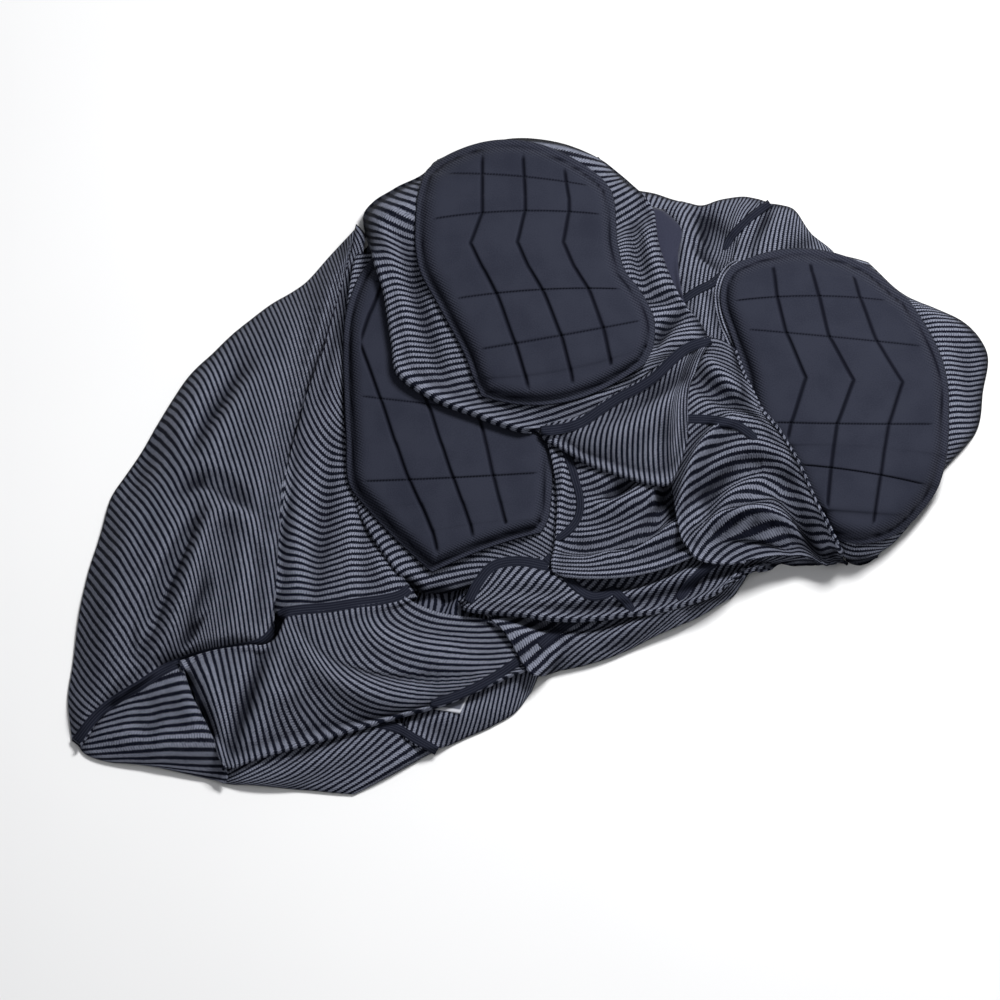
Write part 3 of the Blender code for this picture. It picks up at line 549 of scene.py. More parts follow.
def loftSpots(sections, pitch, cell):
    # Grid of columns, rows and heights, and the stripes passed at each line
    rows = np.array(sections, dtype=float)
    rows[:, [2, 5, 8]] *= mm
    corners = [spots(rows[:, k], rows[:, k + 1], rows[:, k + 2]) for k in (0, 3, 6)]
    steps = [np.linalg.norm(np.diff(corner, axis=0), axis=1) for corner in corners]
    stations = np.concatenate([[0.0], np.cumsum(np.mean(steps, axis=0))])
    width = np.linalg.norm(corners[0] - corners[1], axis=1)
    width += np.linalg.norm(corners[1] - corners[2], axis=1)
    across = max(8, int(round(width.max() / cell)))
    along = max(8, int(round(stations[-1] / cell)))
    queries = np.linspace(0, stations[-1], along + 1)
    lines = through(rows, stations, queries)
    counts = lines[:, 9] if rows.shape[1] > 9 else queries / mm / (pitch or 1)
    share = np.linspace(0, 1, across + 1)[None, :, None]
    start, middle, end = lines[:, None, 0:3], lines[:, None, 3:6], lines[:, None, 6:9]
    grid = 2 * (share - 0.5) * (share - 1) * start + 4 * share * (1 - share) * middle
    grid = grid + 2 * share * (share - 0.5) * end
    return grid, counts


def foldLift(columns, rows, fold):
    # Height that one curved fold adds at each spot
    c0, r0, c1, r1, c2, r2, halfWidth, height = fold
    steps = np.linspace(0, 1, 25)
    blend = [(1 - steps) ** 2, 2 * steps * (1 - steps), steps ** 2]
    lineColumns = blend[0] * c0 + blend[1] * c1 + blend[2] * c2
    lineRows = blend[0] * r0 + blend[1] * r1 + blend[2] * r2
    spread = halfWidth * mm / span
    best = np.full(columns.shape, 1e9)
    fade = np.zeros(columns.shape)
    for step, column, row in zip(steps, lineColumns, lineRows):
        distance = (columns - column) ** 2 + (rows - row) ** 2
        nearer = distance < best
        best = np.where(nearer, distance, best)
        fade = np.where(nearer, np.sin(pi * (0.04 + 0.92 * step)) ** 0.6, fade)
    return height * mm * fade * np.exp(-best / spread ** 2)


def spread(values, reach):
    # Greatest value within the reach, in grid steps
    for axis in (0, 1):
        result = values.copy()
        for offset in range(1, reach + 1):
            for sign in (1, -1):
                moved = np.roll(values, sign * offset, axis=axis)
                edge = slice(0, offset) if sign > 0 else slice(-offset, None)
                picks = [slice(None), slice(None)]
                picks[axis] = edge
                moved[tuple(picks)] = values[tuple(picks)]
                result = np.maximum(result, moved)
        values = result
    return values


def evened(values, rounds):
    for _ in range(rounds):
        padded = np.pad(values, 1, mode="edge")
        values = (padded[:-2, 1:-1] + padded[2:, 1:-1] + padded[1:-1, :-2] + padded[1:-1, 2:]
                  + 2 * values) / 6
    return values


class Pile:
    # The pieces laid so far, as the surface that the next one lies on
    def __init__(self):
        self.trees = []

    def add(self, points, faces):
        self.trees.append(BVHTree.FromPolygons(points.reshape(-1, 3).tolist(), faces))

    def heights(self, columns, rows):
        starts = spots(columns, rows, np.zeros(columns.shape)).reshape(-1, 3)
        back = viewDirection * 1.0
        found = np.zeros(len(starts))
        for number, start in enumerate(starts):
            origin = Vector(start) - back
            for tree in self.trees:
                place = tree.ray_cast(origin, viewDirection)[0]
                if place and place.z > found[number]:
                    found[number] = place.z
        return found.reshape(columns.shape)


pile = Pile()
core = frame["nodes"]["hidden_layers"].data
pile.add(np.array([tuple(point.co) for point in core.vertices]),
         [tuple(face.vertices) for face in core.polygons])


def gridObject(name, points):
    # A grid primitive whose points are moved into place
    lines, across = points.shape[:2]
    bpy.ops.object.select_all(action="DESELECT")
    bpy.ops.mesh.primitive_grid_add(x_subdivisions=across - 1, y_subdivisions=lines - 1, size=2)
    piece = bpy.context.object
    piece.name = name
    piece.data.name = name
    flat = np.empty(len(piece.data.vertices) * 3)
    piece.data.vertices.foreach_get("co", flat)
    flat = flat.reshape(-1, 3)
    place = np.round((flat[:, 0] + 1) / 2 * (across - 1)).astype(int)
    line = np.round((1 - flat[:, 1]) / 2 * (lines - 1)).astype(int)
    piece.data.vertices.foreach_set("co", points[line, place].ravel())
    piece.data.update()
    normals = np.empty(len(piece.data.polygons) * 3)
    piece.data.polygons.foreach_get("normal", normals)
    if normals[2::3].mean() < 0:
        piece.data.flip_normals()
    piece.data.shade_smooth()
    return piece, line, place


def thicken(piece, wall):
    thickness = piece.modifiers.new("wall", "SOLIDIFY")
    thickness.thickness = wall
    thickness.offset = -1


def setUv(piece, line, place, u, v):
    loops = np.empty(len(piece.data.loops), dtype=int)
    piece.data.loops.foreach_get("vertex_index", loops)
    pairs = np.stack([u[line, place][loops], v[line, place][loops]], axis=-1)
    piece.data.uv_layers[0].data.foreach_set("uv", pairs.ravel())


def setAttribute(piece, name, line, place, values):
    attribute = piece.data.attributes.new(name, "FLOAT", "POINT")
    attribute.data.foreach_set("value", values[line, place].astype(np.float32))


def gridFaces(lines, across):
    first = (np.arange(lines - 1)[:, None] * across + np.arange(across - 1)[None, :]).ravel()
    return np.stack([first, first + across, first + across + 1, first + 1], axis=-1).tolist()


def sideDistances(points):
    sides = (points[:, :1], points[:, -1:], points[:1], points[-1:])
    return [np.linalg.norm(points - side, axis=-1) / mm for side in sides]


def rollTaper(distances, side):
    # A rolled edge gets thinner towards its two ends
    one, two = (2, 3) if side < 2 else (0, 1)
    return smoothStep(0.15 + np.minimum(distances[one], distances[two]) / 12)


def crumpled(points, size, seed):
    flat = points.reshape(-1, 3) / (size * mm)
    values = [noise.noise(Vector((p[0] + seed, p[1], p[2] * 0.5))) for p in flat]
    return np.array(values).reshape(points.shape[:2])


def rolled(points, maps, side, radius):
    # Continues one side of a grid round a half circle and under
    axis, last = (1, side == 1) if side < 2 else (0, side == 3)
    grid = points if axis == 1 else points.transpose(1, 0, 2)
    maps = [values if axis == 1 else values.T for values in maps]
    if not last:
        grid = grid[:, ::-1]
        maps = [values[:, ::-1] for values in maps]
    edge = grid[:, -1]
    out = edge - grid[:, -4]
    out[:, 2] = 0
    for _ in range(6):
        out[1:-1] = (out[:-2] + 2 * out[1:-1] + out[2:]) / 4
    out /= np.linalg.norm(out, axis=1)[:, None] + 1e-9
    up = np.array([0, 0, 1.0])
    extra = []
    for turn in np.radians((28, 56, 84, 112, 140, 170, 200)):
        extra.append(edge + radius[:, None] * mm * (np.sin(turn) * out + (np.cos(turn) - 1) * up))
    grid = np.concatenate([grid, np.stack(extra, axis=1)], axis=1)
    longer = []
    for values in maps:
        slope = (values[:, -1] - values[:, -4]) / np.linalg.norm(edge - grid[:, -11], axis=1)
        steps = np.arange(1, 8)[None, :] * radius[:, None] * mm * 0.49
        longer.append(np.concatenate([values, values[:, -1:] + slope[:, None] * steps], axis=1))
    if not last:
        grid = grid[:, ::-1]
        longer = [values[:, ::-1] for values in longer]
    if axis == 0:
        grid = grid.transpose(1, 0, 2)
        longer = [values.T for values in longer]
    return grid, longer


def layPanel(name, data, seed):
    grid, counts = loftSpots(data["sections"], data["pitch"], cloth["cell"])
    columns, rows, heights = grid[..., 0], grid[..., 1].copy(), grid[..., 2].copy()
    lift = np.zeros(columns.shape)
    for fold in data["folds"]:
        lift += foldLift(columns, rows, fold)
    start = spots(columns, rows, heights)
    lift += crumpled(start, cloth["crumpleSize"], seed) * cloth["crumple"] * mm
    fineSize = cloth["crumpleSize"] * cloth["fineSize"]
    lift += crumpled(start, fineSize, seed + 9) * cloth["crumple"] * cloth["fineCrumple"] * mm
    distances = sideDistances(start)
    share = np.ones(columns.shape)
    for width, distance in zip(data["hug"], distances):
        if width:
            share = np.minimum(share, distance / width)
    share = roundStep(share)
    rolls = data.get("rolls", (0, 0, 0, 0))
    lip = np.zeros(columns.shape)
    for side, roll in enumerate(rolls):
        if roll:
            near = 1 - smoothStep(distances[side] / (roll * cloth["rollReach"]))
            lip = np.maximum(lip, 2 * roll * rollTaper(distances, side) * near)
    heights += lift
    rows -= lift * tiltCos / span * cloth["sway"]
    floor = pile.heights(columns, rows)
    reach = cloth["drapeReach"]
    floor = np.maximum(evened(spread(floor, reach), 3 * reach), spread(floor, 1))
    floor += cloth["wall"] + cloth["gap"] + lip * mm
    drop = np.clip(heights - floor, 0, data.get("drop", cloth["edgeDrop"]) * mm)
    heights = np.maximum(heights - drop * (1 - share), floor)
    points = spots(columns, rows, heights)
    # Painted shade: spots lower than their smoothed surroundings, as in fold valleys and crevices,
    # get a smaller "open" share, which darkens the knit toward the painted shade colour; crests
    # get a larger one
    relief = heights - evened(heights, cloth["shadeRounds"])
    paintedShading = cloth["paintedShadeFlat"] + relief / mm * cloth["paintedShadeSlope"]
    along = counts[:, None] + np.zeros(points.shape[:2])
    steps = np.linalg.norm(np.diff(points, axis=1), axis=-1) / mm
    across = np.concatenate([np.zeros((points.shape[0], 1)), np.cumsum(steps, axis=1)], axis=1)
    for side, roll in enumerate(rolls):
        if roll:
            edges = (np.s_[:, 0], np.s_[:, -1], np.s_[0, :], np.s_[-1, :])
            taper = rollTaper(sideDistances(points), side)[edges[side]]
            maps = (across, along, paintedShading)
            points, (across, along, paintedShading) = rolled(points, maps, side, roll * taper)
    piece, line, place = gridObject(name, points)
    setUv(piece, line, place, across, along)
    setAttribute(piece, "open", line, place, np.clip(paintedShading, cloth["paintedShadeLeast"], 1.0))
    thicken(piece, cloth["wall"])
    pile.add(points, gridFaces(*points.shape[:2]))
    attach(piece, "root")
    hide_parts(data["node"])
    data["piece"] = piece
    return piece


class Wire:
    # A shader value that takes part in plain arithmetic
    def __init__(self, shader, socket):
        self.shader = shader
        self.socket = socket

    def __add__(self, other):
        return self.shader.maths("ADD", self, other)

    def __sub__(self, other):
        return self.shader.maths("SUBTRACT", self, other)

    def __mul__(self, other):
        return self.shader.maths("MULTIPLY", self, other)

    def __truediv__(self, other):
        return self.shader.maths("DIVIDE", self, other)

    def __radd__(self, other):
        return self.shader.maths("ADD", other, self)

    def __rsub__(self, other):
        return self.shader.maths("SUBTRACT", other, self)

    def __rmul__(self, other):
        return self.shader.maths("MULTIPLY", other, self)


class Shader:
    def __init__(self, name, roughness, sheen=0.0):
        self.material = bpy.data.materials.new(name)
        self.material.use_nodes = True
        self.tree = self.material.node_tree
        self.surface = self.tree.nodes["Principled BSDF"]
        self.surface.inputs["Roughness"].default_value = roughness
        self.surface.inputs["Metallic"].default_value = 0.0
        self.surface.inputs["Specular IOR Level"].default_value = 0.03
        self.surface.inputs["Sheen Weight"].default_value = sheen
        self.surface.inputs["Sheen Roughness"].default_value = 0.4

    def node(self, kind, inputs, output=0, **settings):
        made = self.tree.nodes.new(kind)
        for key, value in settings.items():
            setattr(made, key, value)
        for key, value in inputs.items():
            if isinstance(value, Wire):
                self.tree.links.new(value.socket, made.inputs[key])
            else:
                made.inputs[key].default_value = value
        return Wire(self, made.outputs[output])

    def maths(self, operation, *values):
        return self.node("ShaderNodeMath", dict(enumerate(values)), operation=operation)

    def ramp(self, value, low, high):
        inputs = {"Value": value, "From Min": low, "From Max": high}
        return self.node("ShaderNodeMapRange", inputs, interpolation_type="SMOOTHSTEP")

    def uv(self):
        pair = self.node("ShaderNodeUVMap", {}, uv_map="UVMap")
        split = self.node("ShaderNodeSeparateXYZ", {"Vector": pair})
        return split, Wire(self, split.socket.node.outputs[1])

    def attribute(self, name):
        return self.node("ShaderNodeAttribute", {}, output=2, attribute_name=name)

    def noise(self, vector, scale, detail=2.0):
        inputs = {"Vector": vector, "Scale": scale, "Detail": detail}
        return self.node("ShaderNodeTexNoise", inputs)

    def pair(self, x, y):
        return self.node("ShaderNodeCombineXYZ", {"X": x, "Y": y})

    def mix(self, share, first, second):
        made = self.node("ShaderNodeMix", {0: share}, output=2, data_type="RGBA")
        for slot, value in ((6, first), (7, second)):
            if isinstance(value, Wire):
                self.tree.links.new(value.socket, made.socket.node.inputs[slot])
            else:
                made.socket.node.inputs[slot].default_value = (*value, 1)
        return made

    def wave(self, value):
        # 0 to 1 and back over each whole number
        return self.maths("ABSOLUTE", self.maths("FRACT", value) - 0.5) * 2.0

    def paint(self, colour):
        self.tree.links.new(colour.socket, self.surface.inputs["Base Color"])

    def emboss(self, height, distance, strength):
        inputs = {"Height": height, "Distance": distance, "Strength": strength}
        bump = self.node("ShaderNodeBump", inputs)
        self.tree.links.new(bump.socket, self.surface.inputs["Normal"])


knit = {
    "light": (0.212, 0.226, 0.284),
    "lightFleck": (0.088, 0.095, 0.128),
    "dark": (0.0040, 0.0050, 0.0105),
    "darkFleck": (0.014, 0.0155, 0.026),
    "lightShare": 0.52,
    "edge": 0.07,
    "loop": 1.7,
    "slant": 0.9,
    "ragged": 0.15,
    "drift": 0.14,
    "fuzz": 0.24,
    # Painted shade colour, near black, for fold valleys and crevices
    "paintedShadeColour": (0.0025, 0.003, 0.006),
}


def stripedKnit():
    # Stripes along v, one to a whole number, with loops and flecks along u
    shader = Shader("stripedKnit", 0.82)
    u, v = shader.uv()
    tooth = shader.wave(u / knit["loop"] + v * knit["slant"])
    drift = shader.noise(shader.pair(u * 0.09, v * 0.35), 1.0, 3.0)
    fuzz = shader.noise(shader.pair(u * 0.9, v * 3.5), 1.0, 2.0)
    phase = v + (tooth - 0.5) * knit["ragged"] + (drift - 0.5) * knit["drift"]
    band = shader.wave(phase + (fuzz - 0.5) * knit["fuzz"])
    share = knit["lightShare"]
    light = 1.0 - shader.ramp(band, share - knit["edge"], share + knit["edge"])
    fleck = shader.noise(shader.pair(u * 0.85, v * 2.6), 1.0, 3.0)
    speck = shader.ramp(fleck * 0.8 + tooth * 0.4, 0.42, 0.82)
    pale = shader.mix(speck, knit["light"], knit["lightFleck"])
    dots = shader.ramp(fleck + tooth * 0.15, 0.52, 0.80)
    deep = shader.mix(dots, knit["dark"], knit["darkFleck"])
    worn = shader.mix(light, deep, pale)
    # Painted shade: the "open" share fades the knit toward the painted shade colour
    shader.paint(shader.mix(shader.attribute("open"), knit["paintedShadeColour"], worn))
    rows = shader.wave(v * 4.0 + tooth * 0.5)
    relief = tooth * 0.45 + rows * 0.2 + light * 0.9 + fleck * 0.7
    shader.emboss(relief, 0.00035, 0.75)
    return shader.material


padKnit = {
    "face": (0.0245, 0.027, 0.0405),
    "faceFleck": (0.0185, 0.0205, 0.032),
    # Painted shade colour for the sunk channels, the stitch lines and the flange crease
    "channel": (0.0045, 0.005, 0.0095),
    "side": (0.033, 0.036, 0.052),
    "sideTwill": (0.0155, 0.017, 0.027),
    "twill": 1.7,
    "stitch": 1.9,
}


def quiltedKnit():
    # Plain weave on the face, twill on the bevelled side, painted shade in the sunk channels and
    # the flange crease, and stitch lines of dashed thread on painted shade
    shader = Shader("quiltedKnit", 0.8)
    u, v = shader.uv()
    side = shader.attribute("side")
    twill = shader.wave((v - u * 0.55) / padKnit["twill"])
    cross = shader.wave((u + v * 0.3) / padKnit["twill"])
    grain = shader.noise(shader.pair(u * 1.4, v * 1.4), 1.0, 3.0)
    blotch = shader.noise(shader.pair(u * 0.045, v * 0.045), 1.0, 2.0)
    weave = shader.ramp(grain + (blotch - 0.5) * 0.8, 0.35, 0.75)
    face = shader.mix(weave, padKnit["face"], padKnit["faceFleck"])
    ribs = shader.ramp(twill * 0.7 + cross * 0.3, 0.35, 0.7)
    slope = shader.mix(ribs, padKnit["side"], padKnit["sideTwill"])
    # Painted shade: the channels, the crease and the stitch lines, whose dashed thread sits on a
    # steady darkening, are painted toward the channel colour
    dash = shader.ramp(shader.wave(u / padKnit["stitch"] + v * 0.2), 0.2, 0.5)
    lines = shader.attribute("stitches") * (0.45 + dash * 0.55)
    dark = shader.maths("MAXIMUM", shader.attribute("channel"), lines)
    dark = shader.maths("MAXIMUM", dark, shader.attribute("crease"))
    colour = shader.mix(side, face, slope)
    shader.paint(shader.mix(dark, colour, padKnit["channel"]))
    relief = grain * 0.5 + shader.wave(u / 0.7) * 0.2 + ribs * side * -1.0
    relief = relief + shader.attribute("stitches") * dash * -1.2
    shader.emboss(relief, 0.0003, 0.7)
    return shader.material


seam = {
    "cloth": (0.0095, 0.011, 0.019),
    "thread": (0.030, 0.033, 0.048),
    "stitch": 1.5,
    "row": 1.1,
}


def flatlock():
    shader = Shader("flatlock", 0.8)
    u, v = shader.uv()
    ridge = shader.wave(u / seam["stitch"])
    thread = shader.ramp(ridge + shader.wave(v / seam["row"]) * 0.25, 0.45, 0.95)
    fuzz = shader.noise(shader.pair(u * 1.5, v * 1.5), 1.0, 2.0)
    shader.paint(shader.mix(thread * fuzz, seam["cloth"], seam["thread"]))
    shader.emboss(thread * 0.8 + fuzz * 0.5, 0.0004, 0.8)
    return shader.material


plainNavy = {
    "cloth": (0.030, 0.032, 0.052),
    "fleck": (0.021, 0.023, 0.038),
    "rib": 0.7,
    "sheen": 0.1,
}


def plainKnit():
    shader = Shader("plainKnit", 0.82, plainNavy["sheen"])
    u, v = shader.uv()
    fuzz = shader.noise(shader.pair(u * 1.4, v * 1.4), 1.0, 3.0)
    shader.paint(shader.mix(shader.ramp(fuzz, 0.4, 0.7), plainNavy["cloth"], plainNavy["fleck"]))
    shader.emboss(shader.wave(u / plainNavy["rib"]) * 0.4 + fuzz * 0.7, 0.0003, 0.6)
    return shader.material


# Pad rows, over the outline from its far to its near end: start, middle and
# end column and row; columns of the three lengthwise channels; crosswise
# channel (1) or not (0).  Bevels: widths in mm at the start, end, far and
# near sides.
pads = {
    "padUpper": {
        "node": "pad_upper", "after": "upperPanel", "bevels": (10, 6, 5, 8.5),
        "rows": [
            (438, 160, 520, 140, 602, 178, 482, 522, 563, 0),
            (424, 174, 520, 176, 611, 190, 482, 524, 566, 1),
            (417, 198, 520, 196, 615, 204, 482, 525, 569, 0),
            (415, 222, 520, 211, 616, 216, 482, 525, 569, 1),
            (415, 246, 520, 242, 618, 244, 470, 517, 563, 0),
            (420, 272, 527, 268, 625, 270, 483, 529, 575, 0),
            (436, 302, 538, 290, 640, 290, 496, 542, 588, 1),
            (463, 352, 556, 336, 654, 318, 515, 561, 603, 1),
            (473, 378, 562, 370, 654, 344, 525, 570, 610, 0),
            (481, 396, 564, 403, 645, 364, 532, 576, 614, 0),
        ],
    },
    "padRight": {
        "node": "pad_right", "after": "rightPadPanel", "bevels": (9, 6.5, 6, 9),
        "rows": [
            (731, 266, 800, 248, 872, 268, 770, 807, 848, 0),
            (722, 282, 810, 272, 897, 290, 774, 812, 854, 0),
            (720, 303, 822, 296, 912, 304, 777, 819, 860, 1),
            (728, 328, 836, 337, 938, 348, 786, 829, 877, 1),
            (744, 374, 846, 380, 948, 384, 806, 854, 903, 0),
            (754, 422, 850, 424, 949, 424, 791, 837, 889, 1),
            (770, 446, 854, 446, 947, 456, 786, 834, 885, 0),
            (784, 464, 856, 472, 938, 488, 784, 831, 881, 1),
            (806, 508, 860, 512, 918, 516, 790, 827, 875, 0),
            (824, 534, 866, 544, 901, 532, 794, 825, 872, 0),
        ],
    },
    "padLower": {
        "node": "pad_lower", "after": "lowerPadPanel", "bevels": (8, 6, 5, 8),
        "rows": [
            (372, 258, 420, 262, 466, 276, 392, 436, 470, 0),
            (357, 280, 420, 286, 486, 300, 384, 430, 474, 1),
            (346, 312, 424, 316, 506, 326, 370, 418, 466, 0),
            (343, 344, 430, 342, 520, 352, 359, 407, 455, 0),
            (344, 394, 440, 405, 540, 412, 380, 428, 478, 1),
            (346, 440, 448, 444, 553, 444, 395, 441, 486, 0),
            (348, 482, 454, 478, 553, 472, 409, 453, 493, 1),
            (366, 508, 462, 502, 551, 504, 420, 462, 500, 0),
            (396, 540, 470, 524, 548, 520, 432, 470, 505, 0),
            (432, 573, 484, 549, 541, 533, 441, 476, 509, 0),
        ],
    },
}

# Sizes in mm, apart from the shares, rounds and counts
quilt = {
    "wall": 1.2,
    "gap": 0.4,
    "rise": 9.0,
    "flange": 1.5,
    "flangeWidth": 4.6,
    "flangeEdge": 1.0,
    "crease": 0.6,
    "creaseHalf": 0.6,
    "crown": 1.0,
    "channel": 1.9,
    "channelHalf": 1.7,
    "stitchLine": 0.8,
    "stitchHalf": 0.85,
    "channelStart": 1.5,
    "bevelShare": 0.75,
    "floorReach": 3,
    "floorRounds": 60,
    "cellsAcross": 20,
    "cellsAlong": 14,
    "dense": 0.7,
    "fill": 0.9,
}


def knotted(knots, cells):
    # Places that are dense at every knot and wide between them
    even = np.arange(knots * cells + 1) / cells
    return even - quilt["dense"] * np.sin(2 * pi * even) / (2 * pi)


def outlineDistance(columns, rows):
    edge = [(columns[0], rows[0]), (columns[-1], rows[-1]), (columns[:, 0], rows[:, 0]),
            (columns[:, -1], rows[:, -1])]
    nearest = np.full(columns.shape, 1e9)
    for edgeColumns, edgeRows in edge:
        for column, row in zip(edgeColumns, edgeRows):
            nearest = np.minimum(nearest, (columns - column) ** 2 + (rows - row) ** 2)
    return np.sqrt(nearest) * span / mm


def padShape(data):
    # Columns and rows of the pad's grid, and its channels' depth shares
    rows = np.array(data["rows"], dtype=float)
    steps = [np.linalg.norm(np.diff(rows[:, k:k + 2], axis=0), axis=1) for k in (0, 2, 4)]
    stations = np.concatenate([[0.0], np.cumsum(np.mean(steps, axis=0))])
    along = knotted(len(rows) - 1, quilt["cellsAlong"])
    queries = np.interp(along, np.arange(len(rows)), stations)
    lines = through(rows[:, :9], stations, queries)
    kinked = np.stack([np.interp(queries, stations, rows[:, k]) for k in (6, 7, 8)], axis=1)
    for _ in range(3):
        kinked[1:-1] = (kinked[:-2] + 2 * kinked[1:-1] + kinked[2:]) / 4
    knots = np.stack([lines[:, 0], *kinked.T, lines[:, 4]], axis=1)
    knots = np.sort(np.maximum.accumulate(knots, axis=1), axis=1)
    places = knotted(4, quilt["cellsAcross"])
    columns = np.stack([np.interp(places, np.arange(5), row) for row in knots])
    share = (columns - lines[:, :1]) / (lines[:, 4:5] - lines[:, :1])
    rowsAt = 2 * (share - 0.5) * (share - 1) * lines[:, 1:2]
    rowsAt = rowsAt + 4 * share * (1 - share) * lines[:, 3:4]
    rowsAt = rowsAt + 2 * share * (share - 0.5) * lines[:, 5:6]
    lengthwise = np.zeros(columns.shape)
    for k in range(3):
        slant = np.gradient(kinked[:, k]) / np.maximum(np.abs(np.gradient(lines[:, 3])), 0.2)
        aside = np.abs(columns - kinked[:, k:k + 1]) * span / mm / np.sqrt(1 + slant[:, None] ** 2)
        lengthwise = np.maximum(lengthwise, 1 - smoothStep(aside / quilt["channelHalf"]))
    crosswise = np.zeros(columns.shape)
    for station, row in zip(stations, rows):
        if row[9]:
            aside = np.abs(queries - station)[:, None] * span / mm
            crosswise = np.maximum(crosswise, 1 - smoothStep(aside / quilt["stitchHalf"]))
    return columns, rowsAt, share, (queries / stations[-1])[:, None], lengthwise, crosswise


def layPad(name, data):
    columns, rows, share, length, lengthwise, crosswise = padShape(data)
    start, end, far, near = data["bevels"]
    sideways = np.abs(2 * share - 1) ** 4 + 0.01
    endways = np.abs(2 * length - 1) ** 4 + 0.01
    bevel = sideways * (start + (end - start) * share) + endways * (far + (near - far) * length)
    bevel /= sideways + endways
    edge = outlineDistance(columns, rows)
    inside = edge - quilt["flangeWidth"]
    beyond = inside / bevel
    body = roundStep(beyond) * (beyond > 0)
    crease = np.exp(-(inside / quilt["creaseHalf"]) ** 2)
    onFace = smoothStep((inside - bevel * quilt["bevelShare"]) / quilt["channelStart"])
    lip = roundStep(edge / quilt["flangeEdge"])
    rise = quilt["flange"] * lip + (quilt["rise"] - quilt["flange"]) * body
    rise -= quilt["crease"] * crease
    rise = rise + quilt["crown"] * np.sin(pi * share) * np.sin(pi * length)
    rise -= onFace * (lengthwise * quilt["channel"] + crosswise * quilt["stitchLine"])
    floor = spread(pile.heights(columns, rows), quilt["floorReach"])
    floor = evened(floor, quilt["floorRounds"])
    heights = floor + (rise + quilt["gap"]) * mm
    points = spots(columns, rows, heights)
    piece, line, place = gridObject(name, points)
    setUv(piece, line, place, columns * span / mm, rows * span / mm)
    # Masks for the painted shade in the channels, along the stitch lines and in the flange crease
    setAttribute(piece, "channel", line, place, onFace * lengthwise)
    setAttribute(piece, "stitches", line, place, onFace * crosswise)
    setAttribute(piece, "side", line, place, 1 - smoothStep((beyond - 0.25) / 0.75))
    setAttribute(piece, "crease", line, place, crease)
    thicken(piece, quilt["wall"] * mm)
    pile.add(points, gridFaces(*points.shape[:2]))
    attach(piece, "root")
    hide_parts(data["node"])
    piece.data.materials.append(materials["quilt"])
    return piece


# Seam bands: the panel they are sewn on, the width in steps, whether each end
# comes to a point, and columns and rows along the middle
bands = {
    "hemSeamLow": ("labelFlap", 9, (0, 0), [
        (364, 719), (376, 723), (396, 728), (416, 739), (437, 751)]),
    "hemSeamLeft": ("backPanel", 10, (0, 0), [
        (76, 741), (95, 717), (114, 701), (140, 685), (167, 668), (203, 655), (235, 649),
        (260, 643), (273, 632), (284, 615)]),
    "hemSeamMiddle": ("hemFront", 10, (0, 0), [
        (278, 616), (290, 611), (330, 607), (356, 603), (385, 599), (402, 594), (414, 584)]),
    "hemSeamRight": ("hemFront", 9, (0, 1), [
        (552, 640), (534, 650), (518, 661), (502, 672), (487, 681), (470, 690), (450, 698),
        (430, 704)]),
    "shoulderSeam": ("shoulderYoke", 8, (0, 1), [
        (770, 203), (753, 215), (740, 227), (731, 237), (724, 250)]),
    "gussetSeam": ("shoulderStrip", 8, (0, 0), [
        (724, 273), (712, 283), (698, 290), (683, 300), (672, 308)]),
    "padBinding": ("rightPadPanel", 6, (1, 1), [
        (738, 260), (727, 268), (720, 280), (717, 298), (721, 320), (729, 340), (736, 354),
        (743, 374)]),
    "cuffSeam": ("cuffUnder", 9, (0, 1), [
        (540, 646), (556, 632), (576, 619), (598, 611), (622, 607)]),
    "bottomSeam": ("sleeveBottom", 10, (0, 0), [
        (468, 602), (478, 583), (493, 566), (518, 561), (548, 566)]),
    "sleeveSeam": ("sleeveBottom", 9, (0, 1), [
        (546, 556), (564, 574), (579, 589), (592, 596), (603, 595), (613, 591), (622, 598),
        (634, 611)]),
    "endSeam": ("sleeveBottom", 10, (1, 0), [
        (678, 600), (690, 584), (704, 570), (720, 559), (738, 554), (762, 556)]),
    "underSeam": ("sleeveUnder", 8, (0, 1), [
        (560, 438), (568, 456), (574, 475), (580, 500), (578, 517), (569, 530), (556, 540)]),
    "centreSeam": ("sleeveCentre", 9, (0, 1), [
        (680, 419), (700, 419), (720, 421), (738, 426), (757, 439)]),
    "flapSeam": ("centreFlap", 10, (0, 0), [
        (711, 340), (697, 344), (684, 350), (671, 361), (655, 377), (638, 388), (622, 396),
        (600, 410), (582, 422), (565, 428), (541, 431)]),
}
binding = {"names": ("padBinding",), "pitch": 1.9}
# Step in view steps, the rest in mm or as shares of the width
bandCloth = {
    "step": 2.2,
    "across": 9,
    "crown": 0.28,
    "gap": 0.05,
    "wall": 0.5,
    "pointWidth": 0.25,
    "pointLength": 1.6,
}


